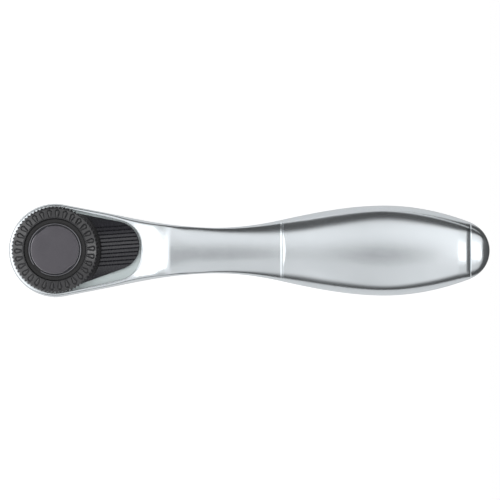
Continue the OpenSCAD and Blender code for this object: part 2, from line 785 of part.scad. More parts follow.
// The spring is one coil of round wire, closed at both ends
module plunger_spring() {
    sides = 6;
    rings = 12 * spring_turns;
    wire_r = spring_wire / 2;
    coil_r = plunger_r - wire_r - face_gap;
    start = plunger_end + face_gap + wire_r;
    run = spring_l - 2 * face_gap - spring_wire;
    points = [
        for (i = [0:rings], k = [0:sides - 1])
        let (a = 360 * spring_turns * i / rings, b = 360 * k / sides, r = coil_r + wire_r * cos(b))
        [start + run * i / rings + wire_r * sin(b), r * cos(a), plunger_z + r * sin(a)]];
    walls = [
        for (i = [0:rings - 1], k = [0:sides - 1])
        let (n = (k + 1) % sides, a = i * sides + k, b = i * sides + n)
        for (face = [[a, b + sides, b], [a, a + sides, b + sides]]) face];
    caps = [
        for (k = [1:sides - 2], face = [[0, k, k + 1],
            [rings * sides, rings * sides + k + 1, rings * sides + k]]) face];
    color("lightgray") rotate(switch_swing) polyhedron(points = points, faces = concat(walls, caps));
}

// Outline of the pawl when it is level, before it is turned onto the gear
module pawl_outline() {
    difference() {
        union() {
            polygon(concat(
                arc([0, 0], pawl_out_r, -pawl_span, pawl_span, 30),
                arc([0, 0], pawl_in_r, pawl_span, -pawl_span, 30)));
            translate([pawl_in_r + pawl_arm / 2, -pawl_back_w / 2])
                square([pawl_back_x - pawl_in_r - pawl_arm / 2, pawl_back_w]);
        }
        for (turn = [-pawl_rock, pawl_rock])
            translate([pawl_x, 0]) rotate(turn) translate([-pawl_x, 0])
            polygon(toothed(gear_teeth, tip_r + mesh_play, root_r + mesh_play));
        translate([pawl_x, 0]) circle(r = pawl_pin_r + run_fit);
    }
}

module pawl() {
    color("gray")
    translate([pawl_x, 0, pawl_z]) rotate(pawl_rock) translate([-pawl_x, 0, 0])
        linear_extrude(pawl_top - pawl_z) pawl_outline();
}

body();
cover_plate();
cover_screws();
spindle_bush();
pawl_pin();
ratchet_gear();
gear_washer();
drag_ring();
socket_magnet();
bit_retaining_ring();
thumbwheel();
wheel_snap_ring();
wheel_washer();
direction_switch();
plunger();
plunger_spring();
pawl();
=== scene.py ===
# %% [markdown]
# # A bit ratchet
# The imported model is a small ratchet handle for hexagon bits: a forged and chromed body, a black thumbwheel
# on the drive spindle, and a ribbed direction switch behind it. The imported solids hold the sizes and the
# joints. This lesson gives the pieces that show their fine forms and finishes, and then sets up the light
# and the camera.

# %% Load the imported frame
import json
import math

import bmesh
import bpy
import numpy as np
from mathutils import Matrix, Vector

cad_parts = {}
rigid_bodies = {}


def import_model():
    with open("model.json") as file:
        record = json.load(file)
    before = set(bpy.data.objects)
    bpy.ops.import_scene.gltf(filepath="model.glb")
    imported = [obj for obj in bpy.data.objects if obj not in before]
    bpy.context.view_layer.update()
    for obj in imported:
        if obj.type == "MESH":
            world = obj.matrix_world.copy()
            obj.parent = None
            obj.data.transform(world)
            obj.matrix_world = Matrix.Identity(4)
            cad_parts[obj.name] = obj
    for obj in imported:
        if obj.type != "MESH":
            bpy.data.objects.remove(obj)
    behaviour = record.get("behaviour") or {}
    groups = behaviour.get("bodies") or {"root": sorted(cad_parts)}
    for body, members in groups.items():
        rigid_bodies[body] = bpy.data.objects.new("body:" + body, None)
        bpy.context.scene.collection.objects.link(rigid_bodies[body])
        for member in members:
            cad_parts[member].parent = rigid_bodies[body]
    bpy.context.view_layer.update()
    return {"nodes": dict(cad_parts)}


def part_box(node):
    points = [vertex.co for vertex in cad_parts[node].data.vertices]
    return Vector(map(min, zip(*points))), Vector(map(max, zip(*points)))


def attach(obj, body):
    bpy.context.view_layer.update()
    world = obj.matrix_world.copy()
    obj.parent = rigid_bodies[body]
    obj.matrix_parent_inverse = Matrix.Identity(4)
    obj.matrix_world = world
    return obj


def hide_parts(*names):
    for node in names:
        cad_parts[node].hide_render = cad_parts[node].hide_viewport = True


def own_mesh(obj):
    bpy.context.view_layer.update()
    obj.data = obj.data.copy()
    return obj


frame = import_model()

# %% [markdown]
# Sizes come first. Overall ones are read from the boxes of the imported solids, so that a new piece fits where
# the solid sat. What a box can't tell, such as a waist or the depth of a groove, is a named value in
# millimetres, as on a drawing.

# %% Sizes that the frame gives
MM = 0.001


def box_mm(node):
    """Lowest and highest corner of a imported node, in millimetres."""
    low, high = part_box(node)
    return np.array(low) / MM, np.array(high) / MM


body_low, body_high = box_mm("body")
head_r = -body_low[0]
handle_l = body_high[0]
head_h = body_high[2]
mid_z = head_h / 2
bush_low, bush_high = box_mm("spindle_bush")
bush_r = bush_high[0]
cavity_top = bush_low[2]
collar_top = bush_high[2]
print(f"head radius {head_r:.2f}, handle {handle_l:.1f}, head height {head_h:.2f} mm")

# %% [markdown]
# Every new piece is one or more grids of points. Neighbouring points span a face, and grids whose edges
# meet are welded into one closed skin. The points are worked out in millimetres, and only this step turns
# them into metres.

# %% From grids of points to a mesh
# In metres, as the mesh is when it is welded
WELD = 2e-6
SLIVER = WELD / 4


def grid_faces(rows, columns, start):
    """Four corner numbers for each cell of a grid that is counted row by row from start."""
    number = start + np.arange(rows * columns).reshape(rows, columns)
    corners = number[:-1, :-1], number[:-1, 1:], number[1:, 1:], number[1:, :-1]
    return np.stack(corners, axis=-1).reshape(-1, 4)


def welded(name, grids, finishes):
    """One closed mesh object from (points, finish number) pairs, where points are rows by columns by 3."""
    start = 0
    faces = []
    numbers = []
    for points, number in grids:
        cells = grid_faces(*points.shape[:2], start)
        faces.append(cells)
        numbers.append(np.full(len(cells), number))
        start += points.shape[0] * points.shape[1]
    vertices = np.concatenate([points.reshape(-1, 3) for points, _ in grids]) * MM
    mesh = bpy.data.meshes.new(name)
    mesh.from_pydata(vertices, [], np.concatenate(faces))
    for finish in finishes:
        mesh.materials.append(finish)
    mesh.polygons.foreach_set("material_index", np.concatenate(numbers))
    shape = bmesh.new()
    shape.from_mesh(mesh)
    bmesh.ops.remove_doubles(shape, verts=shape.verts, dist=WELD)
    bmesh.ops.dissolve_degenerate(shape, edges=shape.edges, dist=SLIVER)
    bmesh.ops.recalc_face_normals(shape, faces=shape.faces)
    shape.to_mesh(mesh)
    shape.free()
    piece = bpy.data.objects.new(name, mesh)
    bpy.context.scene.collection.objects.link(piece)
    return piece


print(f"points within {WELD / MM:.3f} mm of each other are welded")

# %% [markdown]
# Three small helpers serve most of the shapes. One mirrors a grid, one eases a step, and one puts three
# coordinates together.

# %% Helpers for points
def mirrored(points):
    """The same grid on the other side of the handle's middle plane."""
    return points * np.array([1, -1, 1])


def smooth(t):
    """Rises from 0 to 1 with level ends: 3 t squared minus 2 t cubed, and flat outside."""
    t = np.clip(t, 0, 1)
    return t * t * (3 - 2 * t)


def stacked(*xyz):
    """Coordinates of a grid from three arrays that are stretched to one shape."""
    return np.stack(np.broadcast_arrays(*xyz), axis=-1)


print(f"a quarter of the way, an eased step has risen by {smooth(0.25):.2f}")

# %% [markdown]
# Pockets that nothing sees into are cut with a Boolean, because a saw cut needs no fine surface. A cutter
# is a prism: an outline that is drawn up between two heights.

# %% Cutters
def prism(outline, low, high):
    """A closed prism over a plane outline of points, between two heights."""
    count = len(outline)
    floor = stacked(outline[:, 0], outline[:, 1], low)
    roof = stacked(outline[:, 0], outline[:, 1], high)
    here = np.arange(count)
    after = (here + 1) % count
    walls = np.stack([here, after, after + count, here + count], axis=-1).tolist()
    caps = [here[::-1].tolist(), (here + count).tolist()]
    mesh = bpy.data.meshes.new("cutter")
    mesh.from_pydata(np.concatenate([floor, roof]) * MM, [], walls + caps)
    cutter = bpy.data.objects.new("cutter", mesh)
    bpy.context.scene.collection.objects.link(cutter)
    return cutter


def ring_of(radius, centre=(0, 0), count=96):
    """Points round a circle."""
    turn = np.linspace(0, 2 * np.pi, count, endpoint=False)
    return np.stack([centre[0] + radius * np.cos(turn), centre[1] + radius * np.sin(turn)], axis=-1)


def carve(piece, cutter, operation="DIFFERENCE"):
    """Applies a Boolean with the cutter, and throws the cutter away."""
    modifier = piece.modifiers.new("carve", "BOOLEAN")
    modifier.operation = operation
    modifier.solver = "EXACT"
    modifier.object = cutter
    depsgraph = bpy.context.evaluated_depsgraph_get()
    carved = bpy.data.meshes.new_from_object(piece.evaluated_get(depsgraph))
    piece.modifiers.clear()
    piece.data = carved
    bpy.data.objects.remove(cutter)


print("points round a cutter's circle:", len(ring_of(1.0)))

# %% [markdown]
# A finished piece is shaded smooth, but edges that turn sharply are marked, so that the light breaks there
# and flows elsewhere. Then the frame is told which body the piece moves with, and which imported node it
# stands for.

# %% Hand a piece to the frame
SHARP_ANGLE = math.radians(32)


def finish_piece(piece, body, node):
    """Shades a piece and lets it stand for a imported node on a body."""
    piece.data.shade_smooth()
    piece.data.set_sharp_from_angle(angle=SHARP_ANGLE)
    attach(piece, body)
    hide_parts(node)
    print(piece.name, "has", len(piece.data.polygons), "faces and stands for", node)


print(f"edges that turn by more than {math.degrees(SHARP_ANGLE):.0f} degrees stay sharp")

# %% [markdown]
# A finish is a small network of nodes. Colours are written as the eye sees them, in sRGB hex, and one
# function turns them to the linear values that a renderer mixes.

# %% Colours and nodes
def linear(code):
    """An sRGB hex code as linear red, green, blue and alpha."""
    srgb = np.array([int(code[i:i + 2], 16) for i in (1, 3, 5)]) / 255
    values = np.where(srgb <= 0.04045, srgb / 12.92, ((srgb + 0.055) / 1.055) ** 2.4)
    return (*values.tolist(), 1.0)


def add_node(tree, kind, inputs=None, **settings):
    """Adds a node with its settings. An input is a value, or another node's socket to link from."""
    node = tree.nodes.new(kind)
    for key, value in settings.items():
        setattr(node, key, value)
    for socket, value in (inputs or {}).items():
        if isinstance(value, bpy.types.NodeSocket):
            tree.links.new(value, node.inputs[socket])
        else:
            node.inputs[socket].default_value = value
    return node


print(f"the linear value of a middle grey is {linear('#808080')[0]:.3f}")

# %% [markdown]
# No real surface is even. Here the colour drifts in wide patches, and a fine grain changes the roughness and
# the relief. Both are noise, and the scale of the noise comes from a size in millimetres. A real grain is
# often too fine to show in the render, so none is drawn finer than 0.2 mm.

# %% A finish with drift and grain
DRIFT_DETAIL = 3.0
GRAIN_DETAIL = 2.0
NOISE_LOW = 0.3
NOISE_HIGH = 0.7


def per_mm(size):
    """Noise scale for a grain of that size, since object coordinates are in metres."""
    return 1 / (size * MM)


def surface(name, pale, dark, metallic, roughness, spread, grain, relief, patch=6.0, ior=1.5):
    """A finish whose colour drifts between two tones over patches of that size. Its roughness, give or take
    the spread, and its relief follow a finer grain. Patch, grain and relief are in millimetres."""
    material = bpy.data.materials.new(name)
    material.use_nodes = True
    tree = material.node_tree
    shader = tree.nodes["Principled BSDF"]
    place = add_node(tree, "ShaderNodeTexCoord").outputs["Object"]
    drift = add_node(tree, "ShaderNodeTexNoise", {
        "Vector": place, "Scale": per_mm(patch), "Detail": DRIFT_DETAIL})
    fine = add_node(tree, "ShaderNodeTexNoise", {
        "Vector": place, "Scale": per_mm(grain), "Detail": GRAIN_DETAIL})
    tone = add_node(tree, "ShaderNodeMix", {"Factor": drift.outputs["Fac"]}, data_type="RGBA")
    tone.inputs["A"].default_value = linear(dark)
    tone.inputs["B"].default_value = linear(pale)
    gloss = add_node(tree, "ShaderNodeMapRange", {
        "Value": fine.outputs["Fac"], "From Min": NOISE_LOW, "From Max": NOISE_HIGH,
        "To Min": roughness - spread, "To Max": roughness + spread})
    bump = add_node(tree, "ShaderNodeBump", {"Height": fine.outputs["Fac"], "Distance": relief * MM})
    tree.links.new(tone.outputs["Result"], shader.inputs["Base Color"])
    tree.links.new(gloss.outputs["Result"], shader.inputs["Roughness"])
    tree.links.new(bump.outputs["Normal"], shader.inputs["Normal"])
    shader.inputs["Metallic"].default_value = metallic
    if metallic < 1:
        shader.inputs["IOR"].default_value = ior
    return material


print(f"the noise scale of a 1 mm grain is {per_mm(1):.0f}")

# %% [markdown]
# The body is drop-forged steel, blasted and then plated with satin chrome. The eye sees a soft mirror: it
# shows where the bright and dark parts of the room are, but no outline of them. A fine grain stays visible
# in the dark reflections. The floor of the switch's pocket keeps the rough blasted skin under the plate, so
# it looks paler and flatter. The plate's grain is about a tenth of a millimetre. It is drawn coarser here,
# so that it shows.

# %% Chrome finishes
satin_chrome = surface("satin_chrome_plate", "#dee3e7", "#d7dde1", metallic=1.0, roughness=0.22,
                       spread=0.02, grain=0.3, relief=0.008)
blasted_chrome = surface("blasted_chrome_plate", "#c8d1d2", "#bcc5c6", metallic=1.0, roughness=0.5,
                         spread=0.06, grain=0.3, relief=0.02)
print("finishes of the body:", satin_chrome.name, "and", blasted_chrome.name)

# %% [markdown]
# The body's outline is a chain of curves along the handle: a round head, straight tapering sides, a waist,
# a belly and a rounded end. It is drawn from above first. The long curve runs through a few stations, where
# its value and its slope are given, so that it has no kink.

# %% The outline from above
taper = math.radians(11)
taper_x = head_r * math.sin(taper)
ramp_x = 20.6
neck_x = 40.1
neck_w = 11.33
grip_x = 56.35
grip_w = 15.3
grip_slope = 0.225
belly_x = 82.1
belly_w = 22.54
end_l = 5.05
end_x = handle_l - end_l
end_w = 14.35
end_slope = -0.38


def through(x, *stations):
    """Smooth curve through stations of place, value and slope: a cubic between each two that keeps both."""
    curve = np.zeros_like(x)
    for (here, value, slope), (there, next_value, next_slope) in zip(stations, stations[1:]):
        run = there - here
        t = (x - here) / run
        leaving = (2 * t**3 - 3 * t**2 + 1) * value + (t**3 - 2 * t**2 + t) * run * slope
        arriving = (3 * t**2 - 2 * t**3) * next_value + (t**3 - t**2) * run * next_slope
        curve = np.where((x >= here) & (x <= there), leaving + arriving, curve)
    return curve


def half_width(x):
    """Circle at the head, its tangent at the taper's angle, a curve through waist and belly, and an ellipse
    at the end."""
    side = head_r / math.cos(taper) - x * math.tan(taper)
    ramp_side = head_r / math.cos(taper) - ramp_x * math.tan(taper)
    curve = through(x, (ramp_x, ramp_side, -math.tan(taper)), (neck_x, neck_w / 2, 0),
                    (grip_x, grip_w / 2, grip_slope), (belly_x, belly_w / 2, 0),
                    (end_x, end_w / 2, end_slope))
    lean = -end_slope * end_l / (end_w / 2)
    first = lean / (1 - lean)
    u = np.clip(first + (1 - first) * (x - end_x) / end_l, 0, 1)
    cap = end_w / 2 * np.sqrt((1 - u * u) / (1 - first * first))
    circle = np.sqrt(np.maximum(head_r**2 - x * x, 0))
    return np.select([x < taper_x, x < ramp_x, x < end_x], [circle, side, curve], cap)


waist, belly = 2 * half_width(np.array([neck_x, belly_x]))
print(f"waist {waist:.2f} mm, belly {belly:.2f} mm")

# %% [markdown]
# From the side, the head is level and a ramp falls from it to the neck. The grip is thicker again, and the
# end is a blunt cap.

# %% The outline from the side
ramp_start = 17.5
ramp_start_ease = 0.35
ramp_end = 29.0
ramp_end_ease = 0.15
neck_t = 7.4
grip_t = 8.2
grip_rise = 0.05
grip_step = 0.3
end_t = 8.4
end_fall = -0.1
cap_fall = 0.17
cap_power = 6
cap_root = 2.5


def half_thickness(x):
    """Level head, a straight ramp with eased ends, a curve over neck and belly, and a blunt cap."""
    t = np.clip((x - ramp_start) / (ramp_end - ramp_start), 0, 1)
    run = 1 - (ramp_start_ease + ramp_end_ease) / 2
    climb = np.select([t < ramp_start_ease, t < 1 - ramp_end_ease],
                      [t * t / (2 * ramp_start_ease * run), (t - ramp_start_ease / 2) / run],
                      1 - (1 - t) ** 2 / (2 * ramp_end_ease * run))
    ramp = mid_z - (mid_z - neck_t / 2) * climb
    curve = through(x, (ramp_end, neck_t / 2, 0), (grip_x, grip_t / 2, grip_rise),
                    (belly_x, mid_z - grip_step, 0), (end_x, end_t / 2, end_fall))
    u = np.clip((x - end_x) / end_l, 0, 1)
    cap = (end_t / 2 - cap_fall * end_l * u) * (1 - u**cap_power) ** (1 / cap_root)
    return np.select([x < ramp_end, x < end_x], [ramp, curve], cap)


neck, belly = 2 * half_thickness(np.array([neck_x, belly_x]))
print(f"neck {neck:.2f} mm thick, belly {belly:.2f} mm before the grip's rise")

# %% [markdown]
# The grip stands a little proud of the plain handle. At its start are a bead, a flat tread and a shoulder.
# At its end the grip slants, drops into a groove and meets the cap.

# %% Where the grip starts and ends
step_l = 0.75
bead_h = 0.12
bead_l = 0.25
bead_fade = 0.5
tread_l = 0.35
shoulder_x = grip_x + bead_l / 2 + tread_l
shoulder_span = 0.5
shoulder_least = 0.08
end_shoulder_l = 3.0
end_drop_l = 1.2
end_slant = 0.6
slant_power = 1.2
drop_power = 1.5
end_groove_l = 0.3
end_groove = 0.3
groove_inset = 0.2
groove_x = end_x + groove_inset


def grip_rise_at(x, share):
    """Height of the grip over the plain handle. At its start come a narrow bead, a flat tread and a round
    shoulder that is longest in the middle of the handle. At its end it slants, then drops into a groove
    before the cap."""
    middle = shoulder_least + (1 - shoulder_least) * np.maximum(1 - (share / shoulder_span) ** 2, 0)
    bead = bead_h * (1 - bead_fade * share**2) * smooth((x - grip_x) / bead_l + 0.5)
    shoulder = (grip_step - bead) * (1 - (1 - np.clip((x - shoulder_x) / (step_l * middle), 0, 1)) ** 2)
    near = np.clip((x - groove_x) / end_shoulder_l + 1, 0, 1)
    last = np.clip((x - groove_x) / end_drop_l + 1, 0, 1)
    drop = (grip_step + end_groove) * (end_slant * near**slant_power + (1 - end_slant) * last**drop_power)
    climb = end_groove * (1 - (1 - np.clip((x - groove_x) / end_groove_l, 0, 1)) ** 2)
    return bead + shoulder - drop + climb


print(f"bead at {grip_x:.2f} mm, groove at {groove_x:.2f} mm")

# %% [markdown]
# Across the handle the section is a rounded box. The formula for it is: reach over half width, to the power
# p, plus height over half thickness, to the power q, is one. A large p makes the top flat, and a large q
# makes the side upright. The head is flat with a round edge, the neck has upright sides, and the grip is
# rounder. Neck and grip also have a slight crown, an arc of large radius.

# %% The section
crown_start = 24.0
crown_run = 5.0
crown_arc = 38.0
# Places along the handle, with the section's powers p and q there
section_powers = ((12.0, 50, 8.0), (19.0, 30, 2.5), (24.0, 26, 2.6), (ramp_end, 26, 5.0), (34.0, 5.0, 22),
                  (neck_x, 4.7, 15), (46.0, 4.4, 8.3), (53.5, 3.8, 4.3), (61.0, 4.6, 2.3), (70.0, 6.8, 1.8),
                  (belly_x, 11, 1.6), (92.0, 9.0, 1.45), (end_x, 7.0, 1.45))


def powers(x):
    """Powers p and q of the section: smooth curves through the logarithms of their values at the places."""
    places, *values = np.array(section_powers).T
    inside = np.clip(x, places[0], places[-1])
    curves = []
    for logarithms in np.log(values):
        slopes = np.gradient(logarithms, places)
        slopes[[0, -1]] = 0
        curves.append(np.exp(through(inside, *zip(places, logarithms, slopes))))
    return curves


def half_height(x, share):
    """Height of the skin over the middle plane, where share is the reach over the half width."""
    p, q = powers(x)
    crown_drop = smooth((x - crown_start) / crown_run) * (share * half_width(x)) ** 2 / (2 * crown_arc)
    thickness = half_thickness(x) + grip_rise_at(x, share) - crown_drop
    return thickness * np.maximum(1 - share**p, 0) ** (1 / q)


belly_p, belly_q = np.ravel(powers(np.array([belly_x])))
print(f"powers at the belly: {belly_p:.1f} and {belly_q:.1f}")

# %% [markdown]
# The switch lies in a pocket whose outline wraps a circle at the drive axis and two smaller ones at its
# blunt nose. With the two small circles in one place, the same outline is that of the cover plate on the
# underside. A circle slides and grows from the nose to the axis, and the outline is where it bulges out
# furthest. It is drawn from the tip of the nose to the far side of the head.

# %% The teardrop outline
END_POINTS = 10
NOSE_POINTS = 44
SIDE_POINTS = 28
ROUND_POINTS = 84


def half_outline(round_r, corner_r, corner_x, corner_y=0.0):
    """Points and outward normals of the upper half of the wrap: the flat end, the corner, the straight side
    and the round. Each point is a circle's centre plus its radius along the normal."""
    lean = math.asin((round_r - corner_r) / math.hypot(corner_x, corner_y)) - math.atan2(corner_y, corner_x)
    end = np.linspace(0, corner_y, END_POINTS if corner_y else 0, endpoint=False)
    corner = np.linspace(0, math.pi / 2 - lean, NOSE_POINTS, endpoint=False)
    along = np.linspace(0, 1, SIDE_POINTS, endpoint=False)
    turn = np.linspace(math.pi / 2 - lean, math.pi, ROUND_POINTS)
    heading = np.concatenate([0 * end, corner, 0 * along + math.pi / 2 - lean, turn])
    side_r = corner_r + (round_r - corner_r) * along
    radius = np.concatenate([0 * end + corner_r, 0 * corner + corner_r, side_r, 0 * turn + round_r])
    centre_x = np.concatenate([0 * end + corner_x, 0 * corner + corner_x, corner_x * (1 - along), 0 * turn])
    centre_y = np.concatenate([end, 0 * corner + corner_y, corner_y * (1 - along), 0 * turn])
    normals = np.stack([np.cos(heading), np.sin(heading)], axis=-1)
    normals[-1] = -1, 0
    return np.stack([centre_x, centre_y], axis=-1) + radius[:, None] * normals, normals


def teardrop(round_r, corner_r, corner_x):
    """The whole outline with a round nose, from the nose's tip all the way round."""
    upper, _ = half_outline(round_r, corner_r, corner_x)
    return np.concatenate([upper, (upper * [1, -1])[-2:0:-1]])


print("points on half an outline:", END_POINTS + NOSE_POINTS + SIDE_POINTS + ROUND_POINTS)

# %% [markdown]
# The body's skin starts at the rim of the pocket, which is crisp along the sides and softly rounded at the
# nose. Round the head the pocket's wall draws in, so that it lies close to the switch.

# %% The pocket's rim
rim_w = 0.76
pocket_r = head_r - rim_w
pocket_corner_r = 6.4
pocket_corner_x = 14.95
pocket_corner_y = 1.15
wall_snug = 0.5
snug_gain = 1.2
rim_round = 0.06
nose_round = 0.35
nose_gain = 1.3
nose_bulge = 0.1

wall, wall_out = half_outline(pocket_r, pocket_corner_r, pocket_corner_x, pocket_corner_y)
end_share = np.clip(wall[:, 1] / pocket_corner_y, 0, 1)
wall = wall - wall_out * (wall_snug * smooth(-snug_gain * wall_out[:, 0]))[:, None]
rim_size = (rim_round + (nose_round - rim_round) * smooth(1 - nose_gain * (1 - wall_out[:, 0]))
            + nose_bulge * (1 - end_share**2))
rim = wall + rim_size[:, None] * wall_out
print(f"the rim's nose is at {rim[0, 0]:.2f} mm")

# %% [markdown]
# Each column of the skin's grid is a rib: it starts at the rim of the pocket, or at the middle line where
# there is no pocket, runs out to the side, round the edge and back underneath. Ribs stand square to the
# handle and fan out round the head.

# %% Places of the ribs
CAP_RIBS = 28
GROOVE_RIBS = 9
GRIP_END_RIBS = 22
GRIP_RIBS = 92
GRIP_START_RIBS = 41
NECK_RIBS = 64
RAMP_RIBS = 28


def stations_along():
    """Places of the ribs from the handle's end to the pocket's nose, close together where the skin bends."""
    cap = end_x + end_l * np.sin(np.linspace(math.pi / 2, 0, CAP_RIBS, endpoint=False))
    groove = np.linspace(groove_x + end_groove_l, groove_x, GROOVE_RIBS)
    grip_end = np.linspace(groove_x, groove_x - end_shoulder_l, GRIP_END_RIBS)
    grip = np.linspace(groove_x - end_shoulder_l, shoulder_x + step_l, GRIP_RIBS)
    grip_start = np.linspace(shoulder_x + step_l, grip_x - bead_l, GRIP_START_RIBS)
    neck = np.linspace(grip_x - bead_l, ramp_end, NECK_RIBS)
    ramp = np.linspace(ramp_end, rim[0, 0], RAMP_RIBS, endpoint=False)
    return np.concatenate([cap, groove, grip_end, grip, grip_start, neck, ramp])


handle_stations = np.unique(np.round(stations_along(), 6))[::-1]
starts = np.concatenate([np.stack([handle_stations, 0 * handle_stations], axis=-1), rim])
station = np.maximum(starts[:, 0], 0)
fan = starts[:, 0] < 0
start_reach = np.where(fan, np.hypot(starts[:, 0], starts[:, 1]), starts[:, 1])
heading = np.where(fan, np.arctan2(starts[:, 1], starts[:, 0]), math.pi / 2)
print("ribs along the handle:", len(handle_stations), "and from the rim:", len(rim))

# %% [markdown]
# Along a rib the points are spread by an angle, as on an ellipse: the share of the half width is the cosine
# of the angle, to the power two over p. So the points crowd where the edge is tight. A low nub stands out at
# each side of the head. Half the body is made, and it is mirrored when the grids are welded.

# %% The body's skin
nub_r = 0.85
nub_h = 0.1
nub_edge = 0.4
TINY = 1e-6
TOP_ROWS = 42
UNDER_ROWS = 32

edge = half_width(station)
first_share = np.where(edge > 0, start_reach / np.maximum(edge, TINY), 0)
power = powers(station)[0]
first_angle = np.arccos(np.clip(first_share, 0, 1) ** (power / 2))
top_angle = first_angle * (1 - smooth(np.linspace(0, 1, TOP_ROWS)))[:, None]
under_angle = math.pi / 2 * smooth(np.linspace(0, 1, UNDER_ROWS))[1:, None]
top_share = np.cos(top_angle) ** (2 / power)
top_share[0] = first_share
under_share = np.cos(under_angle) ** (2 / power)
under_share[-1] = 0
share = np.concatenate([top_share, under_share])
sign = np.concatenate([np.ones(TOP_ROWS), -np.ones(UNDER_ROWS - 1)])[:, None]
skin_z = mid_z + sign * half_height(station, share)
arc = np.where(fan, -head_r * (heading - math.pi / 2), station)
nub = smooth((nub_r + nub_edge / 2 - np.hypot(arc, skin_z - mid_z)) / nub_edge)
reach = share * edge + nub_h * nub
skin = stacked(station + reach * np.cos(heading), reach * np.sin(heading), skin_z)
print("ribs:", skin.shape[1], "and points on each:", skin.shape[0])

# %% [markdown]
# The pocket has two floors: a shelf under the thumb pad, and a lower round room for the switch's ring, with
# a collar in its middle that the ring turns on. Its grid follows the rim's columns down the wall, over a
# small fillet, across both floors and up the collar.

# %% The pocket's grids
switch_r = 10.11
switch_gap = 0.1
ring_room_r = switch_r + switch_gap
pocket_z = 8.0
shelf_z = 10.2
rim_drop = 0.08
floor_round = 0.04
collar_r = 7.77
collar_bevel = 0.15
RIM_ROWS = 10
FOOT_ROWS = 6

rim_z = skin_z[0, len(handle_stations):]
bend = np.linspace(0, math.pi / 2, RIM_ROWS)[:, None]
rim_plan = wall + (rim - wall) * (1 - np.sin(bend))[..., None]
rim_grid = stacked(rim_plan[..., 0], rim_plan[..., 1], rim_z - rim_drop * (1 - np.cos(bend)))
hollow = np.linspace(0, math.pi / 2, FOOT_ROWS)[:, None]
foot_plan = wall - wall_out * (floor_round * (1 - np.cos(hollow)))[..., None]
foot_plan[:, -1, 1] = 0
foot_grid = stacked(foot_plan[..., 0], foot_plan[..., 1], shelf_z + floor_round * (1 - np.sin(hollow)))
angle = np.arctan2(wall[:, 1], wall[:, 0])
around = np.stack([np.cos(angle), np.sin(angle)], axis=-1)
foot_r = np.hypot(*foot_plan[-1].T)
inner = np.minimum(foot_r, ring_room_r)
floor_r = np.stack([(inner + foot_r) / 2, inner, inner, (inner + collar_r) / 2, 0 * inner + collar_r])
floor_z = np.array([shelf_z, shelf_z, pocket_z, pocket_z, pocket_z])[:, None]
foot_turn = np.arctan2(foot_plan[-1, :, 1], foot_plan[-1, :, 0])
blend = np.array([0, 0, 0, 0.5, 1])[:, None]
floor_turn = foot_turn * (1 - blend) + angle * blend
floor_grid = stacked(floor_r * np.cos(floor_turn), floor_r * np.sin(floor_turn), floor_z)
collar_profile = np.array([[collar_r, collar_top - collar_bevel], [collar_r - collar_bevel, collar_top],
                           [bush_r / 2, collar_top], [0, collar_top]])
collar_grid = stacked(collar_profile[:, :1] * around[:, 0], collar_profile[:, :1] * around[:, 1],
                      collar_profile[:, 1:])
pocket_grid = np.concatenate([rim_grid[-1:], foot_grid, floor_grid, collar_grid])
halves = [(skin, 0), (rim_grid, 0), (pocket_grid, 1)]
body_shell = welded("body_shell", halves + [(mirrored(points), number) for points, number in halves],
                    [satin_chrome, blasted_chrome])
print("faces of the body before it is hollowed:", len(body_shell.data.polygons))

# %% [markdown]
# Underneath, the body is hollow for the gear, the pawl and the switch's lug, and a plate closes it. These
# rooms are cut out of the finished skin. None of them shows from above.

# %% The rooms inside the body
cover_low, cover_high = box_mm("cover_plate")
cover_gap = 0.05
cover_seat = cover_high[2] + cover_gap
cover_r = -cover_low[0]
cover_nose_r = 7.4
cover_nose_x = 13.2
gear_room_r = 7.8
pawl_room_r = 10.56
pawl_room_turn = math.radians(53)
lug_room_x = 18.78
lug_room_w = 3.36
window_x = 13.5
past = 1.0
bush_fit = 0.02
pin_x = np.mean([corner[0] for corner in box_mm("pawl_pin")])
pin_r = 1.02
pin_web = 0.3
screw_r = 0.82
screw_l = 4.8
screw_places = ((-8.96, 0), (15.3, 5.35), (15.3, -5.35))
ROOM_POINTS = 720

turn = np.linspace(-math.pi, math.pi, ROOM_POINTS, endpoint=False)
pawl_room = np.where(np.abs(turn) < pawl_room_turn, pawl_room_r, gear_room_r)
to_end = lug_room_x / np.maximum(np.cos(turn), TINY)
to_side = lug_room_w / np.maximum(np.abs(np.sin(turn)), TINY)
lug_room = np.where(np.cos(turn) > 0, np.minimum(to_end, to_side), 0)
room = np.maximum(pawl_room, lug_room)[:, None] * np.stack([np.cos(turn), np.sin(turn)], axis=-1)
window = np.array([[window_x, -lug_room_w], [lug_room_x, -lug_room_w], [lug_room_x, lug_room_w],
                   [window_x, lug_room_w]])
cover_outline = teardrop(cover_r + cover_gap, cover_nose_r + cover_gap, cover_nose_x)
carve(body_shell, prism(cover_outline, -past, cover_seat))
carve(body_shell, prism(room, cover_seat - past / 2, cavity_top))
carve(body_shell, prism(ring_of(bush_r + bush_fit), cavity_top - past, collar_top + past))
carve(body_shell, prism(window, cavity_top - past, shelf_z + past / 2))
carve(body_shell, prism(ring_of(pin_r, (pin_x, 0), count=48), cover_seat - past / 2, pocket_z - pin_web))
for place in screw_places:
    carve(body_shell, prism(ring_of(screw_r, place, count=32), cover_seat - past / 2, screw_l))
finish_piece(body_shell, "body", "body")
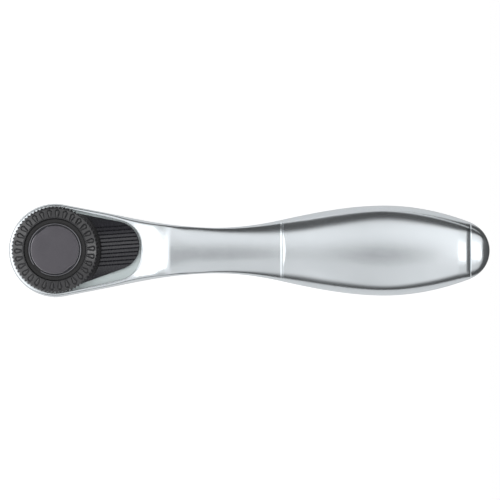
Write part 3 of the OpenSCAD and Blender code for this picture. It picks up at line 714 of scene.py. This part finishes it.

# %% [markdown]
# The thumbwheel and the switch are moulded in black nylon. Such a moulding has a faint spark-eroded texture
# from its mould, so it shines softly and shows a grey sheen on edges that face the light. The floor of the
# wheel's moat is rougher, and its nylon is painted darker as painted shade for the deep, narrow moat.

# %% Nylon finishes
wheel_nylon = surface("moulded_black_nylon", "#2c2c2f", "#262629", metallic=0.0, roughness=0.14,
                      spread=0.04, grain=0.22, relief=0.004, ior=1.65)
# Painted shade: the moat's floor takes the same black nylon, painted darker for the shade in the deep moat
moat_shade_nylon = surface("moulded_black_nylon_moat_painted_shade", "#161618", "#131315", metallic=0.0, roughness=0.3,
                     spread=0.04, grain=0.22, relief=0.004, ior=1.53)
switch_nylon = surface("moulded_black_nylon_switch", "#323237", "#2c2c31", metallic=0.0, roughness=0.26,
                       spread=0.04, grain=0.2, relief=0.004, ior=1.53)
print("nylon finishes:", wheel_nylon.name, moat_shade_nylon.name, switch_nylon.name)

# %% [markdown]
# The thumbwheel is a turned profile whose radius and height also change with the angle. So each row of its
# grid is a closed section. The bore has two flats, as the spindle has, and the knurl is a zigzag of the
# radius on the side.

# %% Turned sections
flats_turn = math.radians(127)
WHEEL_COLUMNS = 1080
theta = np.linspace(0, 2 * np.pi, WHEEL_COLUMNS + 1)


def flatted(radius, width):
    """Radius at each angle of a round end with two flats that width apart."""
    return np.minimum(radius, width / 2 / np.maximum(np.abs(np.cos(theta - flats_turn)), TINY))


def zigzag(teeth):
    """1 at the tip of each tooth and 0 between two teeth."""
    return np.abs(2 * ((theta * teeth / (2 * np.pi)) % 1) - 1)


def turned(rows):
    """Grid of points from rows of radius and height, each a number or a value for every angle."""
    radius = np.stack([np.broadcast_to(r, theta.shape) for r, _ in rows])
    height = np.stack([np.broadcast_to(z, theta.shape) for _, z in rows])
    return stacked(radius * np.cos(theta), radius * np.sin(theta), height)


print("angles round the wheel:", WHEEL_COLUMNS)

# %% [markdown]
# The wheel's face slopes from a narrow band down to the knurl, and the finger dimples are hollows in it.
# Each is an egg, wide at its outer end, and its depth comes from the distance to the egg's outline. It is
# deepest just inside the outline, and its floor rises again to a low crown.

# %% The dimpled face
wheel_low, wheel_high = box_mm("thumbwheel")
wheel_z = wheel_low[2]
wheel_top = wheel_high[2]
wheel_r = wheel_high[0]
knurl_depth = 0.4
knurl_rise = 0.35
knurl_h = 3.8
knurl_step = 0.15
band_r = 7.88
face_r = wheel_r - knurl_depth - knurl_step
face_z = wheel_z + knurl_rise + knurl_h
face_tilt = math.atan2(wheel_top - face_z, face_r - band_r)
face_l = math.hypot(wheel_top - face_z, face_r - band_r)
dimples = 30
dimple_turn = math.radians(2)
dimple_l = 2.1
dimple_in_r = 0.34
dimple_out_r = 0.6
dimple_depth = 0.2
dimple_wall = 0.2
dimple_crown = 0.14
crown_inset = 0.1
crown_l = 0.25
crest_drop = 0.06
crest_l = 0.3
FACE_ROWS = 60


def egg_distance(along, across):
    """Signed distance from the outline of an egg: a small round at its inner end, a larger one outside."""
    margin = (face_l - dimple_l) / 2
    inner = margin + dimple_in_r
    outer = margin + dimple_l - dimple_out_r
    t = np.clip((along - inner) / (outer - inner), 0, 1)
    radius = dimple_in_r + t * (dimple_out_r - dimple_in_r)
    return np.hypot(along - inner - t * (outer - inner), across) - radius


def sloping_face():
    """Radius and height over the dimpled slope, pushed in along its normal by the depth of the dimples."""
    along = np.linspace(0, face_l, FACE_ROWS)[:, None]
    radius = band_r + along * math.cos(face_tilt)
    height = wheel_top - along * math.sin(face_tilt)
    pitch = 2 * np.pi / dimples
    offset = (theta - dimple_turn + pitch / 2) % pitch - pitch / 2
    distance = egg_distance(along, radius * offset)
    depth = dimple_depth * smooth(0.5 - distance / dimple_wall)
    depth = depth - dimple_crown * smooth(-(distance + crown_inset) / crown_l)
    crest = crest_drop * (1 - smooth(along / crest_l))
    return radius - depth * math.sin(face_tilt), height - depth * math.cos(face_tilt) - crest


slope_r, slope_z = sloping_face()
print(f"{dimples} dimples on a slope of {math.degrees(face_tilt):.1f} degrees")

# %% [markdown]
# A moat round the spindle makes room for the snap ring, with a trench beside its seat. From the moat a wall
# rises to the band, which rounds over to the face.

# %% The moat and the band
snap_low, snap_high = box_mm("wheel_snap_ring")
spindle_r = 6.03
flats_w = 11.5
hub_gap = 0.03
seat_r = 6.66
trench_r = 6.92
trench_depth = 0.4
trench_draft = 0.03
moat_r = 7.66
moat_bevel = 0.1
# How far in and down, where the band rounds over to the face
band_steps = (0.14, 0.4), (0.08, 0.2), (0.03, 0.1)

round_bore = spindle_r + hub_gap
flat_bore = flatted(round_bore, flats_w + 2 * hub_gap)
moat_z = snap_low[2]
trench_z = moat_z - trench_depth
moat_rows = [
    (flat_bore, moat_z),
    (seat_r, moat_z),
    (seat_r + trench_draft, trench_z),
    (trench_r - trench_draft, trench_z),
    (trench_r, moat_z),
    (moat_r - moat_bevel, moat_z),
    (moat_r, moat_z + moat_bevel)]
band_rows = [moat_rows[-1]] + [(band_r - inward, wheel_top - down) for inward, down in band_steps]
print(f"moat {wheel_top - moat_z:.2f} mm deep, trench {trench_depth:.2f} mm deeper")

# %% [markdown]
# On the side the knurl's teeth grow out over a small bevel and end above a plain foot. The bore is round at
# the bottom, and the flats start a little above.

# %% The knurled side and the bore
knurl_teeth = 70
knurl_tip = 0.12
knurl_bevel = 0.3
# Shares of a tooth's height and of the bevel, where the tooth grows
tooth_steps = (0.35, 1 / 3), (0.75, 2 / 3), (1, 1)
tooth_foot = 0.02
foot_bevel = 0.3
face_lip = 0.03
flats_rise = 0.7
flats_z = wheel_z + flats_rise

root_r = face_r + knurl_step
teeth = (knurl_depth + knurl_tip) * zigzag(knurl_teeth)
tooth_rows = [(root_r + grown * teeth, face_z - down * knurl_bevel) for grown, down in tooth_steps]
side_rows = tooth_rows + [
    (root_r + teeth, (face_z + wheel_z) / 2),
    (root_r + teeth, wheel_z + knurl_rise + knurl_bevel / 2),
    (root_r + teeth / 2, wheel_z + knurl_rise + tooth_foot),
    (face_r, wheel_z + knurl_rise),
    (face_r, wheel_z + foot_bevel),
    (face_r - foot_bevel, wheel_z),
    (round_bore, wheel_z),
    (round_bore, flats_z),
    (flat_bore, flats_z),
    (flat_bore, moat_z)]
face_rows = list(zip(slope_r, slope_z)) + [(face_r + knurl_step / 2, face_z - face_lip)]
# The moat takes finish 1, the nylon with the painted moat shade
wheel_grids = [(turned(moat_rows), 1), (turned(band_rows + face_rows + side_rows), 0)]
thumbwheel = welded("thumbwheel_knurled", wheel_grids, [wheel_nylon, moat_shade_nylon])
finish_piece(thumbwheel, "drive", "thumbwheel")

# %% [markdown]
# The spindle, its gear and the socket are one turned and hobbed part with a dull grey phosphate coat. The
# rounded edge of its end has a bright steel colour painted on, as a painted highlight. It is made like the
# thumbwheel: every row is a closed section, and each section is a function of the angle. There are a flatted
# round, a toothed one, plain circles and, inside, a hexagon.

# %% Phosphated steel
phosphated_steel = surface("phosphated_steel", "#646267", "#59575c", metallic=1.0, roughness=0.46,
                           spread=0.04, grain=0.3, relief=0.004, patch=4.0)
# Painted highlight: a bright steel colour on the end's rounded edge stands in for the light that the edge
# catches
edge_highlight_steel = surface("steel_edge_painted_highlight", "#b9b8bc", "#a9a8ad", metallic=1.0, roughness=0.3,
                     spread=0.04, grain=0.3, relief=0.003)
print("finishes of the spindle:", phosphated_steel.name, "and", edge_highlight_steel.name)

# %% The spindle's end
gear_low, gear_high = box_mm("ratchet_gear")
spindle_top = gear_high[2]
spindle_bevel = 0.1
# How far in and down, in bevels, where the edge of the end is rounded
edge_steps = (1, 0.12), (0.45, 0.4), (0.1, 0.8), (0, 1.2)
face_share = 0.6
face_inset = 1.6
SPINDLE_COLUMNS = 720
theta = np.linspace(0, 2 * np.pi, SPINDLE_COLUMNS + 1)

flats = flatted(spindle_r, flats_w)
edge_rows = [(flats - inward * spindle_bevel, spindle_top - down * spindle_bevel)
             for inward, down in edge_steps]
end_rows = [
    (0, spindle_top),
    (face_share * flats, spindle_top),
    (flats - face_inset * spindle_bevel, spindle_top),
    edge_rows[0]]
print(f"end {2 * spindle_r:.2f} mm across, and {flats_w:.2f} mm over its flats")

# %% [markdown]
# Below its end the spindle has a groove for the snap ring and one for the drag ring. Then come the gear and
# a plain hub, down to the socket's mouth.

# %% The grooves, the gear and the hub
mouth_z = gear_low[2]
snap_groove_depth = 0.35
snap_groove_r = spindle_r - snap_groove_depth
snap_play = 0.02
drag_low, drag_high = box_mm("drag_ring")
drag_play = 0.08
drag_groove_depth = 1.0
drag_groove_r = spindle_r - drag_groove_depth
gear_z = 1.3
gear_top = 6.0
gear_teeth = 72
tooth_depth = 0.42
tip_r = gear_high[0]
hub_r = 5.6

toothed = tip_r - tooth_depth * (1 - zigzag(gear_teeth))
outer_rows = [
    edge_rows[-1],
    (flats, snap_high[2] + snap_play),
    (snap_groove_r, snap_high[2] + snap_play),
    (snap_groove_r, snap_low[2] - snap_play),
    (flats, snap_low[2] - snap_play),
    (flats, flats_z),
    (spindle_r, flats_z),
    (spindle_r, drag_high[2] + drag_play),
    (drag_groove_r, drag_high[2] + drag_play),
    (drag_groove_r, drag_low[2] - drag_play),
    (spindle_r, drag_low[2] - drag_play),
    (spindle_r, gear_top),
    (toothed, gear_top),
    (toothed, gear_z),
    (hub_r, gear_z),
    (hub_r, mouth_z)]
print(f"gear of {gear_teeth} teeth, {2 * tip_r:.2f} mm across")

# %% [markdown]
# The socket is a hexagon with a bevelled mouth. It has a groove for the ring that holds the bit, and a round
# seat for the magnet at its end.

# %% The hexagon socket
hexagon_r = 3.724
mouth_bevel = 0.3
bit_low, bit_high = box_mm("bit_retaining_ring")
bit_play = 0.05
bit_groove_r = 3.944
magnet_low, magnet_high = box_mm("socket_magnet")
magnet_fit = 0.02
magnet_r = magnet_high[0] + magnet_fit
magnet_gap = 0.05


def hexagon(radius):
    """Radius at each angle of a hexagon with a corner on the X axis."""
    sixth = np.pi / 3
    return radius * math.cos(sixth / 2) / np.cos(theta % sixth - sixth / 2)


socket = hexagon(hexagon_r)
mouth = np.maximum(socket, hexagon_r + mouth_bevel)
socket_rows = [
    (mouth, mouth_z),
    (socket, mouth_z + 2 * mouth_bevel),
    (socket, bit_low[2] - bit_play),
    (bit_groove_r, bit_low[2] - bit_play),
    (bit_groove_r, bit_high[2] + bit_play),
    (socket, bit_high[2] + bit_play),
    (socket, magnet_low[2]),
    (magnet_r, magnet_low[2]),
    (magnet_r, magnet_high[2] + magnet_gap),
    (0, magnet_high[2] + magnet_gap)]
# The end's rounded edge takes finish 1, the painted highlight
spindle_grids = [(turned(end_rows), 0), (turned(edge_rows), 1), (turned(outer_rows + socket_rows), 0)]
drive_spindle = welded("drive_spindle", spindle_grids, [phosphated_steel, edge_highlight_steel])
finish_piece(drive_spindle, "drive", "ratchet_gear")

# %% [markdown]
# A snap ring of dark spring steel sits in a groove of the spindle and holds the thumbwheel on. It is a flat
# ring with a rounded bead at its outer edge. A lighter steel is painted on the bead's top, as a painted
# highlight for the thin line of light that it catches. The profile is carried round an arc that stays open at
# one side, and each end is closed with a fan of faces.

# %% The snap ring
spring_steel = surface("dark_spring_steel", "#424246", "#38383c", metallic=1.0, roughness=0.32,
                       spread=0.04, grain=0.2, relief=0.003)
# Painted highlight: a lighter steel on the top of the bead stands in for the thin line of light that it
# catches
bead_highlight_steel = surface("spring_steel_painted_highlight", "#77777b", "#6b6b6f", metallic=1.0, roughness=0.32,
                    spread=0.04, grain=0.2, relief=0.003)
ring_opening = math.radians(22)
opening_turn = math.radians(226)
ring_in_r = 5.73
wire_r = 6.43
wire_half_w = 0.2
wire_h = 0.14
BEAD_POINTS = 11
# Rows of the profile that take the painted highlight
HIGHLIGHT_FIRST = 5
HIGHLIGHT_LAST = 9
SWEEP_POINTS = 220

swell = np.linspace(-math.pi / 2, math.pi / 2, BEAD_POINTS)
wire_edge = wire_r + wire_half_w * np.sin(swell)
wire_z = snap_high[2] - wire_h * (1 - np.cos(swell))
profile_r = np.concatenate([[ring_in_r, ring_in_r], wire_edge, [wire_edge[-1], ring_in_r]])
profile_z = np.concatenate([[snap_low[2], wire_z[0]], wire_z, [snap_low[2], snap_low[2]]])
sweep = opening_turn + np.linspace(ring_opening / 2, 2 * math.pi - ring_opening / 2, SWEEP_POINTS)


def carried(radius, height, turns):
    """Points of a profile carried to some angles: one row per profile point, one column per angle."""
    return stacked(radius[:, None] * np.cos(turns), radius[:, None] * np.sin(turns), height[:, None])


def ring_end(turn):
    """A fan that closes the ring at one end: every face runs to a point inside the profile."""
    middle_r = np.full_like(profile_r, (ring_in_r + wire_r) / 2)
    middle_z = np.full_like(profile_z, (snap_low[2] + wire_z[0]) / 2)
    return np.concatenate([carried(profile_r, profile_z, turn), carried(middle_r, middle_z, turn)], axis=1)


ring_skin = carried(profile_r, profile_z, sweep)
ring_grids = [
    (ring_skin[:HIGHLIGHT_FIRST + 1], 0),
    (ring_skin[HIGHLIGHT_FIRST:HIGHLIGHT_LAST + 1], 1),
    (ring_skin[HIGHLIGHT_LAST:], 0),
    (ring_end(sweep[:1]), 0),
    (ring_end(sweep[-1:]), 0)]
snap_ring = welded("snap_ring_open", ring_grids, [spring_steel, bead_highlight_steel])
finish_piece(snap_ring, "drive", "wheel_snap_ring")

# %% [markdown]
# The direction switch is a ring that turns on the body's collar, with a ribbed thumb pad on its nose. Round
# the ring the grid's columns point outwards. At the pad they turn and run along it, so that every rib and
# groove follows a column and stays clean.

# %% The columns of the switch
switch_nose_r = 6.1
switch_nose_x = 15.0
pad_clear = 0.6
pad_r = wheel_r + pad_clear
rib_pitch = 0.95
RIB_POINTS = 10
RING_COLUMNS = 150

lean = math.asin((switch_r - switch_nose_r) / switch_nose_x)
corner = math.pi / 2 - lean - math.acos(switch_r / pad_r)
corner_y = pad_r * math.sin(corner)
rib_step = rib_pitch / RIB_POINTS
rib_lines = rib_step * np.arange(-math.floor(corner_y / rib_step), math.floor(corner_y / rib_step) + 1)
pad_y = np.concatenate([[-corner_y], rib_lines, [corner_y]])
ring_turn = np.linspace(corner, 2 * math.pi - corner, RING_COLUMNS)[1:-1]
turn = np.concatenate([np.arcsin(pad_y / pad_r), ring_turn, [-corner]])
on_pad = np.arange(len(turn)) < len(pad_y)
folded = np.abs((turn + math.pi) % (2 * math.pi) - math.pi)
side_r = switch_r / np.cos(np.minimum(folded - (math.pi / 2 - lean), 0))
rim_r = np.where(on_pad, pad_r, np.where(folded < math.pi / 2 - lean, side_r, switch_r))
rim_r[-1] = pad_r
front = rim_r[:, None] * np.stack([np.cos(turn), np.sin(turn)], axis=-1)
nose_y = np.minimum(np.abs(front[:, 1]), switch_nose_r)
nose_end = switch_nose_x + np.sqrt(switch_nose_r**2 - nose_y**2)
side_end = (switch_r / math.cos(lean) - np.abs(front[:, 1])) / math.tan(lean)
on_nose = np.abs(front[:, 1]) < switch_nose_r * math.cos(lean)
pad_end = np.where(on_pad, np.where(on_nose, nose_end, side_end), front[:, 0])
print("columns on the pad:", len(pad_y), "and round the ring:", len(ring_turn))

# %% [markdown]
# The pad's top is a crown: a cylinder whose axis falls towards the nose. The ribs are what the grooves leave
# standing, and the pad's front and nose have a rounded edge.

# %% The pad's crown and ribs
ring_top = 10.85
pad_h = 2.5
crown_r = 13.0
crown_fall = math.radians(7)
rib_depth = 0.3
rib_half_w = 0.16
rib_zone = 5.0
pad_round = 0.3
PAD_ROWS = 48


def crown(x, y):
    """Height of the pad: the crown, less the grooves between the ribs, and never lower than the ring."""
    top = ring_top + pad_h - crown_r + np.sqrt(crown_r**2 - y**2) / math.cos(crown_fall)
    top = top - (x - pad_r) * math.tan(crown_fall)
    nearest = np.abs((y + rib_pitch / 2) % rib_pitch - rib_pitch / 2)
    groove = rib_depth * np.clip(1 - nearest / rib_half_w, 0, 1) * (np.abs(y) < rib_zone)
    return np.maximum(top - groove, ring_top)


def edge_round(distance):
    """Fall of a rounded edge at a distance from it: a quarter circle."""
    inside = np.clip(pad_round - distance, 0, pad_round)
    return pad_round - np.sqrt(pad_round**2 - inside**2)


even = np.linspace(0, 1, PAD_ROWS)
eased = (1 - np.cos(math.pi * even)) / 2
spacing = (even + eased) / 2
pad_x = front[:, 0] + spacing[:, None] * (pad_end - front[:, 0])
pad_top = crown(pad_x, front[:, 1])
fall = edge_round(pad_x - front[:, 0]) + edge_round(pad_end - pad_x)
top_z = np.where(on_pad, np.maximum(pad_top - fall, ring_top), ring_top)
print(f"the pad's top is at {top_z.max():.2f} mm")

# %% [markdown]
# The rows of the grid go up the ring's bore, over its top and the pad, down the outside and back underneath
# to the bore.

# %% The switch's ring and pad
collar_gap = 0.04
ring_bore_r = collar_r + collar_gap
switch_z = 8.1
pad_gap = 0.1
pad_z = shelf_z + pad_gap
ring_bevel = 0.15
ring_margin = 0.02

bore = ring_bore_r * np.stack([np.cos(turn), np.sin(turn)], axis=-1)
bore_bevel = bore * (1 + ring_bevel / ring_bore_r)
tip = np.stack([pad_end, front[:, 1]], axis=-1)
ring_r = np.minimum(np.hypot(*tip.T), switch_r + ring_margin)
ring_edge = ring_r[:, None] * np.stack([np.cos(turn), np.sin(turn)], axis=-1)
edge_z = ring_top - ring_bevel
bore_rows = (bore, switch_z), (bore, edge_z), (bore_bevel, ring_top), (front, ring_top)
skirt_rows = (tip, edge_z), (tip, pad_z), (ring_edge, pad_z), (ring_edge, switch_z), (bore, switch_z)
switch_rows = [stacked(plan[:, 0], plan[:, 1], z) for plan, z in bore_rows]
switch_rows += list(stacked(pad_x, front[:, 1], top_z))
switch_rows += [stacked(plan[:, 0], plan[:, 1], z) for plan, z in skirt_rows]
direction_switch = welded("direction_switch_ribbed", [(np.stack(switch_rows), 0)], [switch_nylon])
print("faces of the switch before it has its lug:", len(direction_switch.data.polygons))

# %% [markdown]
# Under the pad a lug reaches down into the body and holds the plunger. It is a plain block, joined to the
# switch with a Boolean and then bored. The switch was made along the handle's line, so at last it is turned
# to the stop where it rests.

# %% The switch's lug
lug_front = 14.0
lug_end = 18.4
lug_w = 3.4
lug_z = 1.8
plunger_z = 3.9
lug_bore_r = 0.99
spring_end = 18.0
switch_swing = math.radians(4.25)

lug = np.array([[lug_front, -lug_w / 2], [lug_end, -lug_w / 2], [lug_end, lug_w / 2],
                [lug_front, lug_w / 2]])
carve(direction_switch, prism(lug, lug_z, pad_z + (ring_top - pad_z) / 2), "UNION")
plunger_bore = prism(ring_of(lug_bore_r, count=40), lug_front - past, spring_end)
x, y, z = np.array([vertex.co for vertex in plunger_bore.data.vertices]).T
lying = np.stack([z, y, plunger_z * MM - x], axis=-1)
plunger_bore.data.vertices.foreach_set("co", lying.ravel())
carve(direction_switch, plunger_bore)


def swung(points):
    """The points turned about the drive axis, from the handle's line to where the switch rests."""
    x, y, z = np.moveaxis(points, -1, 0)
    cosine, sine = math.cos(switch_swing), math.sin(switch_swing)
    return np.stack([x * cosine - y * sine, x * sine + y * cosine, z], axis=-1)


points = np.array([vertex.co for vertex in direction_switch.data.vertices])
direction_switch.data.vertices.foreach_set("co", swung(points).ravel())
finish_piece(direction_switch, "switch", "direction_switch")

# %% [markdown]
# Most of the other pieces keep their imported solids, whose shapes are right. Each gets the finish of its own
# material. The bush is bronze, warm and dull. The stamped cover has a satin sheen, and the screws in black
# oxide are nearly black. Ground steel and the magnet's nickel plate mirror softly, and the rubber ring has
# no shine.

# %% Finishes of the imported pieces
ground_steel = surface("ground_steel", "#c4c4c5", "#b4b4b6", metallic=1.0, roughness=0.28,
                       spread=0.05, grain=0.3, relief=0.004)
stamped_steel = surface("satin_stamped_steel", "#a9abad", "#9b9da0", metallic=1.0, roughness=0.36,
                        spread=0.05, grain=0.4, relief=0.006)
black_oxide = surface("black_oxide_steel", "#3b3b3e", "#303033", metallic=1.0, roughness=0.42,
                      spread=0.06, grain=0.25, relief=0.004)
sintered_bronze = surface("sintered_bronze", "#b58a55", "#9c7444", metallic=1.0, roughness=0.45,
                          spread=0.06, grain=0.25, relief=0.01)
black_rubber = surface("black_rubber", "#232323", "#1b1b1b", metallic=0.0, roughness=0.6,
                       spread=0.06, grain=0.2, relief=0.006)
nickel_plate = surface("nickel_plate", "#c9c4b8", "#bab5aa", metallic=1.0, roughness=0.22,
                       spread=0.04, grain=0.3, relief=0.002)
finishes = {
    "cover_plate": stamped_steel, "cover_screws": black_oxide, "spindle_bush": sintered_bronze,
    "pawl_pin": ground_steel, "gear_washer": ground_steel, "drag_ring": black_rubber,
    "socket_magnet": nickel_plate, "bit_retaining_ring": ground_steel, "wheel_washer": ground_steel,
    "plunger": ground_steel, "pawl": ground_steel}
for name, finish in finishes.items():
    frame["nodes"][name].data.materials.clear()
    frame["nodes"][name].data.materials.append(finish)
print("packed pieces with a finish:", len(finishes))

# %% [markdown]
# The plunger's spring is a coil of round wire in the lug, behind the plunger. A imported solid is stiff, but
# the real spring is squeezed when the plunger slides back. Here it is drawn again as a round wire that is
# carried along a helix.

# %% The plunger's spring
spring_low, spring_high = box_mm("plunger_spring")
spring_start = 15.0
spring_wire_r = 0.125
spring_turns = 4
spring_gap = 0.05
WIRE_POINTS = 13
TURN_POINTS = 36

coil_r = (spring_high[2] - spring_low[2]) / 2 - spring_wire_r
coil_l = spring_end - spring_start - 2 * spring_gap
coil_turn = np.linspace(0, 2 * math.pi * spring_turns, TURN_POINTS * spring_turns + 1)
wire_turn = np.linspace(0, 2 * math.pi, WIRE_POINTS)[:, None]


def coil(wire_share, turns):
    """The wire at a share of its radius: its circle stands on a helix that climbs along the plunger."""
    climb = (coil_l - 2 * spring_wire_r) * turns / coil_turn[-1]
    radius = wire_share * spring_wire_r
    along = spring_start + spring_gap + spring_wire_r + climb + radius * np.sin(wire_turn)
    reach = coil_r + radius * np.cos(wire_turn)
    return swung(stacked(along, reach * np.cos(turns), plunger_z + reach * np.sin(turns)))


def coil_end(turns):
    """Closes one end of the wire, from its circle to the middle."""
    return np.concatenate([coil(1, turns), coil(0, turns)], axis=1)


coil_grids = [(coil(1, coil_turn), 0), (coil_end(coil_turn[:1]), 0), (coil_end(coil_turn[-1:]), 0)]
plunger_coil = welded("plunger_coil", coil_grids, [ground_steel])
finish_piece(plunger_coil, "switch", "plunger_spring")
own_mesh(plunger_coil)

# %% [markdown]
# A metal is only as good as what it mirrors. This studio has a wide soft light overhead that leans to the
# handle's end, a low bright wall beyond the head and two small lamps past the handle's end. It is dark on
# the far side, low on the near side and past the handle. The camera itself is a small dark spot in the
# light. All this is painted on the world by direction: each part is a soft step along one axis, or away
# from one direction.

# %% Soft steps of light
world = bpy.data.worlds.new("studio")
bpy.context.scene.world = world
world.use_nodes = True
studio = world.node_tree
studio.nodes.clear()
direction = add_node(studio, "ShaderNodeTexCoord").outputs["Generated"]
axes = add_node(studio, "ShaderNodeSeparateXYZ", {"Vector": direction})


def soft_steps(*parts):
    """The product of soft steps. Each goes from start to end as its value goes from low to high."""
    total = 1.0
    for value, low, high, start, end in parts:
        step = add_node(studio, "ShaderNodeMapRange", {
            "Value": value, "From Min": low, "From Max": high, "To Min": start, "To Max": end},
            interpolation_type="SMOOTHSTEP")
        both = {0: total, 1: step.outputs["Result"]}
        total = add_node(studio, "ShaderNodeMath", both, operation="MULTIPLY").outputs["Value"]
    return total


def towards(tilt, turn, inner, outer, there, elsewhere):
    """A soft step round a direction, which is given in degrees from the zenith and from the handle: there
    inside the inner angle, elsewhere outside the outer one. Nearness is the cosine of the angle to it."""
    tilt, turn, inner, outer = np.radians([tilt, turn, inner, outer])
    way = math.sin(tilt) * math.cos(turn), math.sin(tilt) * math.sin(turn), math.cos(tilt)
    nearness = add_node(studio, "ShaderNodeVectorMath", {0: direction, 1: way}, operation="DOT_PRODUCT")
    return nearness.outputs["Value"], math.cos(outer), math.cos(inner), elsewhere, there


print("axes to paint the studio by:", len(axes.outputs))

# %% The studio's lights
CAMERA_TILT = 1.3
along, across, upward = (axes.outputs[axis] for axis in "XYZ")
# Each part has its value, where it starts and ends to change, and the light before and after
end_light = along, -0.04, 0.15, 0.98, 1.34
end_fade = along, 0.22, 0.4, 1.0, 0.84
end_dark = along, 0.57, 0.72, 1.0, 0.14
head_light = along, -0.4, -0.1, 2.2, 1.0
far_light = across, -0.25, 0.25, 0.9, 1.18
near_dark = across, -0.97, -0.66, 0.1, 1.0
far_curtain = soft_steps((across, 0.36, 0.6, 0.0, 1.0), (upward, 0.0, 0.26, 0.0, 1.0))
far_dark = far_curtain, 0.0, 1.0, 1.0, 0.09
camera_spot = towards(tilt=CAMERA_TILT, turn=-90, inner=4, outer=7, there=0.2, elsewhere=1.0)
light = soft_steps(end_light, end_fade, head_light, far_light, camera_spot, far_dark, near_dark, end_dark)
low_lamp = towards(tilt=28, turn=-4, inner=1.5, outer=4.5, there=6.0, elsewhere=0.0)
high_lamp = towards(tilt=20, turn=2, inner=2, outer=7, there=2.5, elsewhere=0.0)
for lamp in (low_lamp, high_lamp):
    added = add_node(studio, "ShaderNodeMath", {0: light, 1: soft_steps(lamp)}, operation="ADD")
    light = added.outputs["Value"]
rays = add_node(studio, "ShaderNodeLightPath")
level = add_node(studio, "ShaderNodeMix", {"Factor": rays.outputs["Is Camera Ray"], "A": light, "B": 1.0})
background = add_node(studio, "ShaderNodeBackground", {"Strength": level.outputs["Result"]})
add_node(studio, "ShaderNodeOutputWorld", {"Surface": background.outputs["Background"]})
print("nodes in the studio:", len(studio.nodes))

# %% [markdown]
# The tool lies on a white sheet. The sheet glows towards the camera, so that it shows as plain white, and
# less towards the chrome. A little of its own shading stays, so that the tool keeps a faint shadow. Past
# the handle's end the chrome sees it dark, so that the end mirrors the dark. From below the sheet is clear.

# %% The white sheet
# In metres, as Blender takes them
SHEET_HALF = 3.0
SHEET_Z = -2e-5
sheet_mesh = bpy.data.meshes.new("white_sheet")
corners = np.array([[-1, -1, 0], [1, -1, 0], [1, 1, 0], [-1, 1, 0]]) * SHEET_HALF + [0, 0, SHEET_Z]
sheet_mesh.from_pydata(corners, [], [[0, 1, 2, 3]])
white_sheet = bpy.data.objects.new("white_sheet", sheet_mesh)
bpy.context.scene.collection.objects.link(white_sheet)
print(f"sheet of {2 * SHEET_HALF:.0f} m each way")

# %% The sheet's paper
PAPER_TONE = 0.456
SEEN_NEAR = 0.8
SEEN_FAR = 1.0
MIRROR_NEAR = 0.38
MIRROR_FAR = 0.1
GLASS_GLOW = 0.8
fade_l = 1.5
paper = bpy.data.materials.new("white_paper")
paper.use_nodes = True
tree = paper.node_tree
tree.nodes.clear()
rays = add_node(tree, "ShaderNodeLightPath")
spot = add_node(tree, "ShaderNodeNewGeometry").outputs["Position"]
spot_x = add_node(tree, "ShaderNodeSeparateXYZ", {"Vector": spot}).outputs["X"]
near_tool = add_node(tree, "ShaderNodeMapRange", {
    "Value": spot_x, "From Min": (handle_l - fade_l) * MM, "From Max": handle_l * MM,
    "To Min": 1.0, "To Max": 0.0}).outputs["Result"]
glow = 0.0
for ray, far, near in (("Is Glossy Ray", MIRROR_FAR, MIRROR_NEAR), ("Is Camera Ray", SEEN_FAR, SEEN_NEAR),
                       ("Is Transmission Ray", GLASS_GLOW, GLASS_GLOW)):
    strength = add_node(tree, "ShaderNodeMapRange", {"Value": near_tool, "To Min": far, "To Max": near})
    summed = add_node(tree, "ShaderNodeMath", {
        0: rays.outputs[ray], 1: strength.outputs["Result"], 2: glow}, operation="MULTIPLY_ADD")
    glow = summed.outputs["Value"]
shine = add_node(tree, "ShaderNodeEmission", {"Strength": glow})
tone = add_node(tree, "ShaderNodeMath", {0: near_tool, 1: PAPER_TONE}, operation="MULTIPLY")
matt = add_node(tree, "ShaderNodeBsdfDiffuse", {"Color": tone.outputs[0]})
lit = add_node(tree, "ShaderNodeAddShader", {0: matt.outputs["BSDF"], 1: shine.outputs["Emission"]})
side = add_node(tree, "ShaderNodeNewGeometry")
clear = add_node(tree, "ShaderNodeBsdfTransparent")
shown = add_node(tree, "ShaderNodeMixShader", {
    0: side.outputs["Backfacing"], 1: lit.outputs["Shader"], 2: clear.outputs["BSDF"]})
add_node(tree, "ShaderNodeOutputMaterial", {"Surface": shown.outputs["Shader"]})
sheet_mesh.materials.append(paper)
print("nodes in the paper:", len(tree.nodes))

# %% [markdown]
# The photograph looks down on the tool with a long lens, from a little to its near side. Its frame is 125
# mm wide at the height of the handle's middle, and the drive axis lies left of the frame's centre.

# %% The camera
# In metres, as Blender takes them
FRAME_W = 0.125
FRAME_X = 0.0486
FRAME_Y = 0.00014
CAMERA_H = 2.6
camera_tilt = math.radians(CAMERA_TILT)
lens = bpy.data.cameras.new("camera")
lens.sensor_width = 36.0
lens.lens = lens.sensor_width * CAMERA_H / FRAME_W
lens.clip_start = 0.1
lens.clip_end = 20.0
camera = bpy.data.objects.new("camera", lens)
camera.location = (FRAME_X, FRAME_Y - CAMERA_H * math.sin(camera_tilt),
                   mid_z * MM + CAMERA_H * math.cos(camera_tilt))
camera.rotation_euler = (camera_tilt, 0, 0)
bpy.context.scene.collection.objects.link(camera)
bpy.context.scene.camera = camera
bpy.context.scene.view_settings.view_transform = "Standard"
print(f"lens {lens.lens:.0f} mm")
